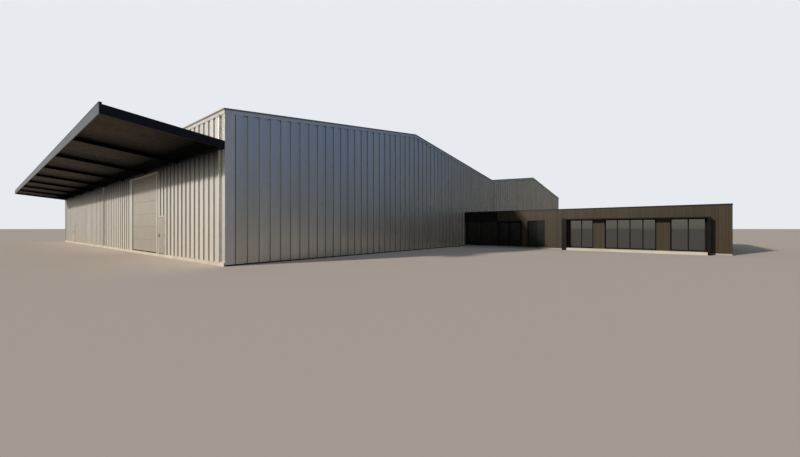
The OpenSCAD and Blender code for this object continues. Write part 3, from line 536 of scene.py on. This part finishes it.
# Rise of both roofs, from the edge capping over a long wall and over a ridge
EAVE_TOP = min(s.high.z for s in solids("roof_edge_cappings"))
RISE = (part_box("roof_edge_cappings")[1].z - EAVE_TOP) / (GABLE_W / 2)


def roof_plane(x, eave):
    """Height over x of a plane that follows both gables."""
    return eave + RISE * min(x, abs(x - GABLE_W), HALL_W - x)


# Rails behind the ribbed walls: their pitch, and how far the first and the last are from the foot
# and the top
RAIL_PITCH = 0.62
FIRST_RAIL, LAST_RAIL = 0.08, 0.17
# Laps of the sheets on a rib face: from and to where across it, how deep they are sunk, their
# chamfer, and how far their ends are from the foot and the top
LAP_FROM, LAP_TO = 0.004, 0.018
LAP_SUNK, LAP_CUT = 0.0003, 0.0005
LAP_FOOT, LAP_TOP = 0.004, 0.12
# Rib faces cut narrower than this by a flashing have no lap
LAP_RIB = 0.1


def wall_fixings(name, node, along, outer, sign):
    """Screws in the grooves of a ribbed wall at each rail, and the laps of its sheets.

    Outer is where the rib faces lie across the wall, sign the way they face.
    """
    across, plane = (X, flat_yz) if along == Y else (Y, flat_xz)
    axis = (sign, 0, 0) if along == Y else (0, sign, 0)
    a, b = sorted((outer - sign * LAP_SUNK, outer + sign * SKIN))
    screws, laps = Shape(), Shape()
    for solid in solids(node):
        base = solid.low.z
        foot = [p for p in solid.points if abs(p[Z] - base) < NEAR]
        depths = sorted({round(abs(p[across] - outer), 3) for p in foot})
        faces = spans([p[along] for p in foot if abs(p[across] - outer) < NEAR])
        if depths[0] > 0 or not faces:
            continue
        groove = outer - sign * depths[1]
        for k, (start, end) in enumerate(faces):
            top = solid.high.z if along == Y else roof_plane(start, FLASHING_HIGH.z)
            if k % RIBS_A_SHEET == 0 and end - start > LAP_RIB:
                laps.bar((start + LAP_FROM, base + LAP_FOOT), (start + LAP_TO, top - LAP_TOP),
                         plane, a, b, LAP_CUT)
            if k + 1 == len(faces):
                break
            middle = (end + faces[k + 1][0]) / 2
            room = top - base - FIRST_RAIL - LAST_RAIL
            rails = max(2, round(room / RAIL_PITCH) + 1)
            for r in range(rails):
                z = base + FIRST_RAIL + room * r / (rails - 1)
                screws.screw(plane(middle, z, groove), axis)
    if screws.faces:
        screws.make(name + "_screws", "fastener")
    if laps.faces:
        laps.make(name + "_sheet_laps", FINISH[node])


def clad_walls():
    wall_fixings("front", "front_gable_wall", X, 0, -1)
    wall_fixings("back", "back_gable_wall", X, HALL_LEN, 1)
    wall_fixings("left", "left_wall_panels", Y, 0, -1)
    wall_fixings("left_over_doors", "left_wall_lintels", Y, 0, -1)
    wall_fixings("right", "right_wall", Y, HALL_W, 1)


# Lengths of the band along a long wall, and straps along the two gables
BAND_LENGTHS, GABLE_STRAPS = 7, 8
STRAP_HALF = 0.03
# Rivets of a strap: how far in from the band's edges and off the strap's middle, and their shape
RIVET_IN, RIVET_OFF = 0.015, 0.02
RIVET = ((0.004, 0), (0.0035, 0.0012), (0.0015, 0.002))
RIVET_SIDES = 8


def edge_straps():
    """Butt straps with rivets where two lengths of the band round the roof meet."""
    straps, rivets = Shape(), Shape()
    band = solids("roof_edge_bands")[0]
    low, high, out = band.low.z, band.high.z, -band.low.x
    places = [(z, s) for z in (low + RIVET_IN, high - RIVET_IN) for s in (-RIVET_OFF, RIVET_OFF)]

    for sign, face in ((-1, -out), (1, HALL_W + out)):
        top = face + sign * SKIN
        a, b = sorted((face, top))
        for k in range(1, BAND_LENGTHS):
            y = HALL_LEN * k / BAND_LENGTHS
            straps.bar((y - STRAP_HALF, low), (y + STRAP_HALF, high), flat_yz, a, b)
            for z, s in places:
                rivets.turned(at(top, y + s, z), (sign, 0, 0), RIVET, RIVET_SIDES)
    for sign, face in ((-1, -out), (1, HALL_LEN + out)):
        top = face + sign * SKIN
        a, b = sorted((face, top))
        for k in range(GABLE_STRAPS):
            x = HALL_W * (k + 0.5) / GABLE_STRAPS
            x0, x1 = x - STRAP_HALF, x + STRAP_HALF
            corners = ((x0, low), (x1, low), (x1, high), (x0, high))
            straps.prism([(u, roof_plane(u, z)) for u, z in corners], flat_xz, a, b)
            for z, s in places:
                place = at(x + s, top, roof_plane(x + s, z))
                rivets.turned(place, (0, sign, 0), RIVET, RIVET_SIDES)
    straps.make("roof_edge_straps", "corner_trim")
    rivets.make("roof_edge_rivets", "fastener")


PURLINS = 6
# How far the first row of screws is from the ridge, how much higher it stands there on the ridge
# capping, and how far the last row is from the eaves or the valley
RIDGE_ROW, RIDGE_LIFT, EAVE_ROW = 0.14, 0.006, 0.36
# Points this far under the crest of a roof sheet belong to its rib tops
RIB_TOP = 0.002


def roof_fixings():
    """Screws on the roof ribs at each purlin; the first row holds the ridge capping too."""
    screws = Shape()
    slope = solids("roof_slopes")[0]
    edge = [p for p in slope.points if abs(p[X] - slope.low.x) < NEAR]
    crest = max(p[Z] for p in edge)
    tops = spans([p[Y] for p in edge if p[Z] > crest - RIB_TOP])
    eave = crest - RISE * slope.low.x
    room = GABLE_W / 2 - RIDGE_ROW - EAVE_ROW
    for ridge in (GABLE_W / 2, 1.5 * GABLE_W):
        for side in (-1, 1):
            for p in range(PURLINS):
                x = ridge + side * (RIDGE_ROW + room * p / (PURLINS - 1))
                z = roof_plane(x, eave) + (0 if p else RIDGE_LIFT)
                for start, end in tops[1:-1]:
                    screws.screw(at(x, (start + end) / 2, z), (side * RISE, 0, 1))
    screws.make("roof_screws", "fastener")


# Collars of the pipes: height, how far they stand out, and how far that slopes in at their ends
COLLAR_H, COLLAR_OUT, COLLAR_CUT = 0.02, 0.003, 0.002
COLLAR_SIDES = 24
# The lower collar is this far over the foot of a pipe, the upper at this part of its height
COLLAR_FOOT, COLLAR_PART = 0.004, 0.34
# Straps and the outlet box stand off the pipe's own circle by more than this, and what is taller
# than a strap is the outlet box
STANDS_OFF, STRAP_TALL = 0.001, 0.04
# Bolts through the straps: how far off the pipe, and their size
STRAP_BOLT_OFF, STRAP_BOLT = 0.004, 0.9
# A pipe this near a long wall is on it, and otherwise on a gable
PIPE_NEAR = 0.1


def pipe_fittings():
    """Collars round the downpipes and a bolt on each side of their straps."""
    collars, bolts = Shape(), Shape()
    for solid in solids("downpipes"):
        circle = [p for p in solid.points if abs(p[Z] - solid.low.z) < NEAR]
        x0, x1 = min(p[X] for p in circle), max(p[X] for p in circle)
        y0, y1 = min(p[Y] for p in circle), max(p[Y] for p in circle)
        cx, cy, radius = (x0 + x1) / 2, (y0 + y1) / 2, (x1 - x0) / 2
        wide = radius + COLLAR_OUT
        rings = [(radius, 0), (wide, COLLAR_CUT), (wide, COLLAR_H - COLLAR_CUT), (radius, COLLAR_H)]
        for up in (COLLAR_FOOT, COLLAR_PART * (solid.high.z - solid.low.z)):
            collars.turned(at(cx, cy, solid.low.z + up), (0, 0, 1), rings, COLLAR_SIDES)
        heights = spans({round(p[Z], 4) for p in solid.points
                         if max(abs(p[X] - cx), abs(p[Y] - cy)) > radius + STANDS_OFF})
        on_long = min(solid.mid.x, HALL_W - solid.mid.x) < PIPE_NEAR
        if on_long:
            wall = 0 if solid.mid.x < GABLE_W else HALL_W
        else:
            wall = 0 if solid.mid.y < HALL_LEN / 2 else HALL_LEN
        for z0, z1 in heights:
            if z1 - z0 > STRAP_TALL:
                continue
            for s in (-1, 1):
                off, z = s * (radius + STRAP_BOLT_OFF), (z0 + z1) / 2
                if on_long:
                    bolts.screw(at((cx + wall) / 2, cy + off, z), (0, s, 0), STRAP_BOLT)
                else:
                    bolts.screw(at(cx + off, (cy + wall) / 2, z), (s, 0, 0), STRAP_BOLT)
    collars.make("downpipe_collars", "pipe")
    bolts.make("downpipe_bolts", "fastener")


# Each soffit panel is three sheets with a seam between them
SEAMS = (1 / 3, 2 / 3)
SEAM_HALF, SEAM_H = 0.007, 0.0015
# Rows of screws across a panel: this part of its length off a seam, and off its own ends
SEAM_SCREW, END_SCREW = 0.01, 0.012
# Screws in a row, the part of its length that is left free at each end, and their size
ROW_SCREWS, ROW_FREE, ROW_SCREW = 7, 0.02, 0.8
# Bolts of a beam's end plates: how far in from its sides, how far over its foot, and their size
BEAM_BOLT_IN, BEAM_BOLT_UP, BEAM_BOLT = 0.011, (0.018, 0.042), 1.1
# Screws of the edge capping: the first one's place, pitch and size
CAP_FIRST, CAP_PITCH, CAP_SCREW = 0.3, 0.6, 0.9


def canopy_details():
    """Seams and screws of the soffit, bolts of the beams, screws along the edge capping."""
    seams, screws, bolts = Shape(), Shape(), Shape()
    rows = [END_SCREW, *(p + s * SEAM_SCREW for p in SEAMS for s in (-1, 1)), 1 - END_SCREW]
    for solid in solids("canopy_soffit"):
        (x0, y0), (x1, y1) = solid.low.xy, solid.high.xy
        inner = min(p[Z] for p in solid.points if p[X] > x1 - NEAR)
        outer = min(p[Z] for p in solid.points if p[X] < x0 + NEAR)
        for part in SEAMS:
            y = y0 + (y1 - y0) * part
            seams.prism([(x1, inner), (x0, outer), (x0, outer - SEAM_H), (x1, inner - SEAM_H)],
                        flat_xz, y - SEAM_HALF, y + SEAM_HALF)
        for part in rows:
            y = y0 + (y1 - y0) * part
            for k in range(ROW_SCREWS):
                along = ROW_FREE + (1 - 2 * ROW_FREE) * k / (ROW_SCREWS - 1)
                place = at(x1 + (x0 - x1) * along, y, inner + (outer - inner) * along)
                screws.screw(place, (0, 0, -1), ROW_SCREW)
    for beam in solids("canopy_beams"):
        wall = [p[Z] for p in beam.points if p[X] > beam.high.x - NEAR]
        edge = [p[Z] for p in beam.points if p[X] < beam.low.x + NEAR]
        plate = beam.high.x - max(p[X] for p in beam.points if p[X] < beam.high.x - NEAR)
        half = (beam.high.y - beam.low.y) / 2 - BEAM_BOLT_IN
        for heights, x, sign in ((wall, beam.high.x - plate, -1), (edge, beam.low.x + plate, 1)):
            for up in BEAM_BOLT_UP:
                for s in (-1, 1):
                    place = at(x, beam.mid.y + s * half, min(heights) + up)
                    bolts.screw(place, (sign, 0, 0), BEAM_BOLT)
    cap = solids("canopy_capping")[0]
    for k in range(int(HALL_LEN / CAP_PITCH)):
        place = at(cap.mid.x, CAP_FIRST + CAP_PITCH * k, cap.high.z)
        screws.screw(place, (0, 0, 1), CAP_SCREW)
    seams.make("canopy_soffit_seams", "soffit")
    bolts.make("canopy_bolts", "canopy_black")
    screws.make("canopy_screws", "dark_lip")


# Office

# Boards: the gap between them, how proud of the wall, how far sunk into it, their edges' chamfer,
# and the narrowest piece that is left beside an opening
BOARD_GAP, BOARD_PROUD, BOARD_SUNK, BOARD_CUT, SLIVER = 0.006, 0.006, 0.001, 0.002, 0.008
# How far the boards end under the wall's top
BOARD_TOP = 0.002
# Trims round the windows: width, and how far they stand out of the boards
TRIM_W, TRIM_PROUD = 0.012, 0.003
# Sloping sill of a front window, seen from its end: places out of the wall and over the frame's
# foot
SILL = ((-0.03, 0.006), (0.022, -0.003), (0.022, -0.009), (0.019, -0.009), (-0.03, -0.001))
# Rubber round the panes: width, and thickness on windows and on the entrance doors
GASKET_W, GASKET_T, LEAF_GASKET_T = 0.006, 0.004, 0.003
# Windows and panes are thinner than this across their wall, and lie this near its outer face
THIN = 0.1


def strips(start, end, holes):
    """What holes leave of a board between start and end."""
    parts = [(start, end)]
    for h in holes:
        parts = [(u0, u1) for a, b in parts
                 for u0, u1 in ((a, min(b, h[0])), (max(a, h[1]), b)) if u1 - u0 > SLIVER]
    return parts


def boards(name, material, plan, u0, u1, z0, z1, holes):
    """Upright boards on a wall, cut round holes of (start, end, foot, top).

    plan(u, d) turns a place along the wall and out of it into x, y.
    """
    shape = Shape()
    for k in range(math.ceil((u1 - u0) / BOARD_PITCH)):
        start = u0 + k * BOARD_PITCH + BOARD_GAP / 2
        end = min(u0 + (k + 1) * BOARD_PITCH, u1) - BOARD_GAP / 2
        met = [h for h in holes if h[0] < end and h[1] > start]
        levels = sorted({z0, z1} | {z for h in met for z in h[2:] if z0 < z < z1})
        runs = {}
        for low, high in zip(levels, levels[1:]):
            for part in strips(start, end, [h for h in met if h[2] < high and h[3] > low]):
                if part in runs and runs[part][-1][1] == low:
                    runs[part][-1][1] = high
                else:
                    runs.setdefault(part, []).append([low, high])
        for (a, b), pieces in runs.items():
            outline = [plan(a, -BOARD_SUNK), plan(a, BOARD_PROUD - BOARD_CUT),
                       plan(a + BOARD_CUT, BOARD_PROUD), plan(b - BOARD_CUT, BOARD_PROUD),
                       plan(b, BOARD_PROUD - BOARD_CUT), plan(b, -BOARD_SUNK)]
            for low, high in pieces:
                shape.prism(outline, flat_xy, low, high)
    shape.make(name, material)


def edge_ring(shape, box, plane, a, b, width, grow=0.0, over=0.0):
    """A ring on a box's outline, grown past its sides and foot and over its top."""
    u = Y if plane is flat_yz else X
    shape.ring((box.low[u] - grow, box.low.z - grow), (box.high[u] + grow, box.high.z + over),
               plane, a, b, width)


def office_walls():
    """Boards with their cut-outs, window trims, sills and the rubber round the panes."""
    front, rear = solids("office_front_wall")[0], solids("office_rear_wall")[0]
    lintel, panel = solids("office_entrance_lintel")[0], solids("screen_fascia")[0]
    front_x, rear_x, end_y = OFFICE_LOW.x - HALL_X, rear.high.x, front.low.y
    foot, top = front.low.z, front.high.z - BOARD_TOP
    frames = solids("window_frames")
    across_x = [f for f in frames if f.high.x - f.low.x < THIN]
    on_front = [f for f in across_x if f.low.x < front_x + THIN]
    on_rear = [f for f in across_x if f.high.x > rear_x - THIN]
    on_end = [f for f in frames if f.high.y - f.low.y < THIN]

    def opening(f, axis):
        return f.low[axis] - TRIM_W, f.high[axis] + TRIM_W, f.low.z - TRIM_W, f.high.z + TRIM_W

    def out_of_front(u, d):
        return front_x - d, u

    def out_of_end(u, d):
        return u, end_y - d

    def out_of_rear(u, d):
        return rear_x + d, u

    holes = [opening(f, Y) for f in on_front]
    holes += [(s.low.y, s.high.y, s.low.z, s.high.z)
              for s in solids("window_surround") + solids("window_plinth")]
    boards("office_boards_front", "board_front", out_of_front, end_y, front.high.y, foot, top,
           holes)
    boards("office_boards_lintel", "board_front", out_of_front, lintel.low.y, panel.low.y,
           lintel.low.z, top, [])
    boards("office_boards_end", "board_end", out_of_end, front.low.x, rear_x, foot, top,
           [opening(f, X) for f in on_end])
    boards("office_boards_rear", "board_front", out_of_rear, rear.low.y, rear.high.y, foot, top,
           [opening(f, Y) for f in on_rear])

    trims = Shape()
    out = BOARD_PROUD + TRIM_PROUD
    for f in on_front:
        edge_ring(trims, f, flat_yz, front_x - out, front_x, TRIM_W, TRIM_W)
    for f in on_rear:
        edge_ring(trims, f, flat_yz, rear_x, rear_x + out, TRIM_W, TRIM_W, TRIM_W)
    for f in on_end:
        edge_ring(trims, f, flat_xz, end_y - out, end_y, TRIM_W, TRIM_W, TRIM_W)
    for f in on_front:
        trims.prism([(front_x - d, f.low.z + up) for d, up in SILL], flat_xz,
                    f.low.y - TRIM_W, f.high.y + TRIM_W)
    trims.make("window_trims", "window_black")

    gaskets = Shape()
    for pane in solids("window_glass") + solids("entrance_screen_glass"):
        if pane.high.y - pane.low.y < THIN:
            edge_ring(gaskets, pane, flat_xz, pane.low.y - GASKET_T, pane.low.y, GASKET_W)
        elif pane.mid.x < (front_x + rear_x) / 2:
            edge_ring(gaskets, pane, flat_yz, pane.low.x - GASKET_T, pane.low.x, GASKET_W)
        else:
            edge_ring(gaskets, pane, flat_yz, pane.high.x, pane.high.x + GASKET_T, GASKET_W)
    gaskets.make("window_gaskets", "rubber")


# Roof membrane: width of its lengths, and the half width and thickness of their laps
MEMBRANE_W, MEMBRANE_LAP_HALF, MEMBRANE_LAP_T = 1.0, 0.03, 0.0025
# Bars that clamp it to the parapets: foot and top over the roof, thickness
BAR_FOOT, BAR_TOP, BAR_T = 0.018, 0.030, 0.004
BAR_SCREW_FIRST, BAR_SCREW_PITCH, BAR_SCREW = 0.08, 0.15, 0.7
# Covers over the joints of the capping: pitch, half width, how far in from its edges, chamfer
JOINT_PITCH, JOINT_HALF, JOINT_IN, JOINT_CUT = 1.45, 0.025, 0.002, 0.0004
# How deep a lap or a joint cover is sunk into what it lies on
SUNK = 0.0005


def office_top():
    """Laps of the roof membrane, bars that clamp it to the parapets, and capping joints."""
    roof = solids("office_roof")[0]
    (x0, y0, _), (x1, y1, top) = roof.low, roof.high
    laps, bars, screws, joints = Shape(), Shape(), Shape(), Shape()
    count = round((y1 - y0) / MEMBRANE_W)
    for k in range(1, count):
        y = y0 + (y1 - y0) * k / count
        laps.bar((y - MEMBRANE_LAP_HALF, top - SUNK),
                 (y + MEMBRANE_LAP_HALF, top + MEMBRANE_LAP_T), flat_yz, x0, x1)
    low, high = top + BAR_FOOT, top + BAR_TOP
    bars.bar((y0, low), (y1, high), flat_yz, x0, x0 + BAR_T)
    bars.bar((y0, low), (y1, high), flat_yz, x1 - BAR_T, x1)
    bars.bar((x0, low), (x1, high), flat_xz, y0, y0 + BAR_T)
    for k in range(int((y1 - y0) / BAR_SCREW_PITCH)):
        y = y0 + BAR_SCREW_FIRST + BAR_SCREW_PITCH * k
        screws.screw(at(x0 + BAR_T, y, (low + high) / 2), (1, 0, 0), BAR_SCREW)
        screws.screw(at(x1 - BAR_T, y, (low + high) / 2), (-1, 0, 0), BAR_SCREW)
    for cap in solids("office_capping"):
        size = cap.high - cap.low
        along, across, plane = (Y, X, flat_xz) if size.y > size.x else (X, Y, flat_yz)
        count = round(size[along] / JOINT_PITCH)
        for k in range(1, count):
            w = cap.low[along] + size[along] * k / count
            joints.bar((cap.low[across] + JOINT_IN, cap.high.z - SUNK),
                       (cap.high[across] - JOINT_IN, cap.high.z + SKIN), plane,
                       w - JOINT_HALF, w + JOINT_HALF, JOINT_CUT)
    laps.make("office_roof_laps", "membrane")
    bars.make("office_roof_bars", "fastener")
    screws.make("office_roof_screws", "fastener")
    joints.make("office_capping_joints", "canopy_black")


# Doors

# Kick plate: how far in from the leaf's near side, far side and foot, and its top over the foot
KICK_NEAR, KICK_FAR, KICK_FOOT, KICK_TOP = 0.02, 0.015, 0.012, 0.15
# Its rivets: how far in from its edges, and their shape
KICK_RIVET_IN = 0.012
KICK_RIVET = ((0.003, 0), (0.0022, 0.001))
KICK_RIVET_SIDES = 10
# Rubber sweep at the foot of a leaf: how far in from its sides, height, thickness
SWEEP_IN, SWEEP_H, SWEEP_T = 0.004, 0.010, 0.003
# Thresholds: how far they are sunk and proud, then how far past the leaves they reach and from and
# to where across the wall, for the personnel doors and for the entrance
STEP_SUNK, STEP_PROUD = 0.001, 0.0015
STEP_PAST, STEP_FROM, STEP_TO = 0.005, 0.0, 0.09
ENTRANCE_PAST, ENTRANCE_FROM, ENTRANCE_TO = 0.004, 0.02, 0.16
# Rubber seals of the loading door, at its foot: how far in, height, thickness
SEAL_IN, SEAL_H, SEAL_T = 0.002, 0.028, 0.006
# And up its sides: width, thickness, how far they start over the foot, chamfer
SIDE_SEAL_W, SIDE_SEAL_T, SIDE_SEAL_FOOT, SIDE_SEAL_CUT = 0.012, 0.007, 0.03, 0.002


def personnel_details(side, thresholds):
    """Kick plate and sweep of one personnel door, and its threshold."""
    leaf = solids(side + "_personnel_door")[0]
    (_, y0, foot), (_, y1, _) = leaf.low, leaf.high
    face = min(p[X] for p in leaf.points if p[Y] > y1 - NEAR)
    plate, sweep = Shape(), Shape()
    low, high = y0 + KICK_NEAR, y1 - KICK_FAR
    plate.bar((low, foot + KICK_FOOT), (high, foot + KICK_TOP), flat_yz, face - SKIN, face)
    for y in (low + KICK_RIVET_IN, (low + high) / 2, high - KICK_RIVET_IN):
        for z in (foot + KICK_FOOT + KICK_RIVET_IN, foot + KICK_TOP - KICK_RIVET_IN):
            plate.turned(at(face - SKIN, y, z), (-1, 0, 0), KICK_RIVET, KICK_RIVET_SIDES)
    plate.make(side + "_door_kick_plate", "door_sheet", side + "_personnel_leaf")
    sweep.bar((y0 + SWEEP_IN, foot), (y1 - SWEEP_IN, foot + SWEEP_H), flat_yz, face - SWEEP_T, face)
    sweep.make(side + "_door_sweep", "rubber", side + "_personnel_leaf")
    thresholds.bar((y0 - STEP_PAST, SLAB_TOP - STEP_SUNK), (y1 + STEP_PAST, SLAB_TOP + STEP_PROUD),
                   flat_yz, STEP_FROM, STEP_TO)


def door_details():
    """Plates, sweeps and thresholds, rubber round the entrance panes, seals of the loading door."""
    thresholds, seals = Shape(), Shape()
    for side in ("near", "far"):
        personnel_details(side, thresholds)
    floor = solids("office_floor")[0]
    leaves = [solids("entrance_door_" + side)[0] for side in ("left", "right")]
    low = min(d.low.y for d in leaves) - ENTRANCE_PAST
    high = max(d.high.y for d in leaves) + ENTRANCE_PAST
    thresholds.bar((low, floor.high.z - STEP_SUNK), (high, floor.high.z + STEP_PROUD), flat_yz,
                   floor.low.x + ENTRANCE_FROM, floor.low.x + ENTRANCE_TO)
    thresholds.make("door_thresholds", "fastener")
    for side in ("left", "right"):
        pane = solids("entrance_" + side + "_glass")[0]
        gasket = Shape()
        edge_ring(gasket, pane, flat_yz, pane.low.x - LEAF_GASKET_T, pane.low.x, GASKET_W)
        edge_ring(gasket, pane, flat_yz, pane.high.x, pane.high.x + LEAF_GASKET_T, GASKET_W)
        gasket.make("entrance_" + side + "_gasket", "rubber", "entrance_leaf_" + side)
    door = solids("loading_door")[0]
    (face, y0, foot), (_, y1, top) = door.low, door.high
    seals.bar((y0 + SEAL_IN, foot), (y1 - SEAL_IN, foot + SEAL_H), flat_yz, face - SEAL_T, face)
    for low, high in ((y0, y0 + SIDE_SEAL_W), (y1 - SIDE_SEAL_W, y1)):
        seals.bar((low, foot + SIDE_SEAL_FOOT), (high, top), flat_yz, face - SIDE_SEAL_T, face,
                  SIDE_SEAL_CUT)
    seals.make("loading_door_seals", "rubber")


# Bolts of the column bases: how far in from the plate's sides, and their shape
ANCHOR_IN = (0.03, 0.018)
ANCHOR = ((0.012, 0), (0.012, 0.002), (0.008, 0.0025), (0.008, 0.010), (0.004, 0.0105),
          (0.004, 0.022))


def column_bolts():
    bolts = Shape()
    for column in solids("frame_columns"):
        plate_top = min(p[Z] for p in column.points if p[Z] > column.low.z + NEAR)
        for x in (column.low.x + ANCHOR_IN[X], column.high.x - ANCHOR_IN[X]):
            for y in (column.low.y + ANCHOR_IN[Y], column.high.y - ANCHOR_IN[Y]):
                bolts.turned(at(x, y, plate_top), (0, 0, 1), ANCHOR)
    bolts.make("column_bolts", "fastener")


# Studio

FLOOR_REACH = 400
FLOOR_SEEN = (0.76, 0.67, 0.60)
# The floor throws less light back on the object than it shows to the camera
FLOOR_BOUNCE = (0.34, 0.295, 0.25)
# The key light comes from the left and slightly from behind, low, as the photograph's shadows show
SUN_TRAVEL = (0.880, -0.336, -0.335)
SUN_POWER, SUN_SOFTNESS = 2.95, 3.0
SUN_COLOR = (1.0, 0.93, 0.84)
FILL_COLOR, FILL_STRENGTH = (0.78, 0.88, 1.0), 0.21
BACKDROP = (0.80, 0.83, 0.87)
# What glossy surfaces mirror, horizon first, then higher up: due right, away from the sun, and
# towards it
SKY_RIGHT = ((0.0, (0.10, 0.09, 0.05)), (0.10, (0.105, 0.098, 0.05)), (0.26, (0.12, 0.125, 0.11)),
             (0.6, (0.07, 0.13, 0.26)))
SKY_AWAY = ((0.0, (0.085, 0.088, 0.07)), (0.08, (0.075, 0.13, 0.19)), (0.26, (0.105, 0.21, 0.45)),
            (0.6, (0.07, 0.15, 0.36)))
SKY_SUNNY = ((0.0, (0.55, 0.50, 0.42)), (0.06, (1.0, 0.95, 0.86)), (0.25, (0.60, 0.62, 0.62)),
             (0.6, (0.22, 0.29, 0.40)))
# Where they pass into each other, as the X of a direction: 1 is due right, the sun is at -1
RIGHT_TO_AWAY, AWAY_TO_SUNNY = (0.97, 0.78), (0.5, -0.5)


def make_floor():
    mesh = bpy.data.meshes.new("floor")
    far = FLOOR_REACH
    corners = [(-far, -far, 0), (far, -far, 0), (far, far, 0), (-far, far, 0)]
    mesh.from_pydata(corners, [], [(0, 1, 2, 3)])
    floor = add_object("floor", mesh)
    n = Material("floor")
    path = n.add("ShaderNodeLightPath").outputs
    seen = n.math("MAXIMUM", path["Is Camera Ray"], path["Is Glossy Ray"])
    mesh.materials.append(n.finish(n.blend(seen, FLOOR_BOUNCE, FLOOR_SEEN), 0.6, gloss=0))


def make_sun():
    data = bpy.data.lights.new("key", "SUN")
    data.energy, data.color = SUN_POWER, SUN_COLOR
    data.angle = math.radians(SUN_SOFTNESS)
    key = add_object("key", data)
    key.rotation_euler = Vector(SUN_TRAVEL).to_track_quat("-Z", "Y").to_euler()


def make_world():
    """A plain backdrop for the camera, a weak fill, and a sky that only glossy surfaces see."""
    world = bpy.data.worlds.new("studio")
    bpy.context.scene.world = world
    world.use_nodes = True
    n = Nodes(world.node_tree)
    n.tree.nodes.clear()
    direction = n.add("ShaderNodeTexCoord").outputs["Generated"]
    right, up = n.component(direction, "X"), n.component(direction, "Z")

    def background(color, strength=1.0):
        node = n.add("ShaderNodeBackground")
        n.feed(node.inputs["Color"], color)
        n.feed(node.inputs["Strength"], strength)
        return node.outputs[0]

    def sky(stops):
        node = n.add("ShaderNodeValToRGB")
        marks = node.color_ramp.elements
        while len(marks) < len(stops):
            marks.new(0.5)
        for mark, (position, color) in zip(marks, stops):
            mark.position, mark.color = position, (*color, 1)
        n.feed(node.inputs[0], up)
        return background(node.outputs[0])

    mirrored = n.choose(n.span(right, *RIGHT_TO_AWAY), sky(SKY_RIGHT), sky(SKY_AWAY))
    mirrored = n.choose(n.span(right, *AWAY_TO_SUNNY), mirrored, sky(SKY_SUNNY))
    path = n.add("ShaderNodeLightPath").outputs
    lit = n.choose(path["Is Glossy Ray"], background(FILL_COLOR, FILL_STRENGTH), mirrored)
    plain = n.math("MAXIMUM", path["Is Camera Ray"], path["Is Transmission Ray"])
    out = n.add("ShaderNodeOutputWorld")
    n.feed(out.inputs["Surface"], n.choose(plain, lit, background(BACKDROP)))


make_camera()
make_floor()
make_sun()
make_world()
finish_nodes()
clad_walls()
edge_straps()
roof_fixings()
pipe_fittings()
canopy_details()
office_walls()
office_top()
door_details()
column_bolts()
bpy.context.scene.view_settings.view_transform = "Standard"
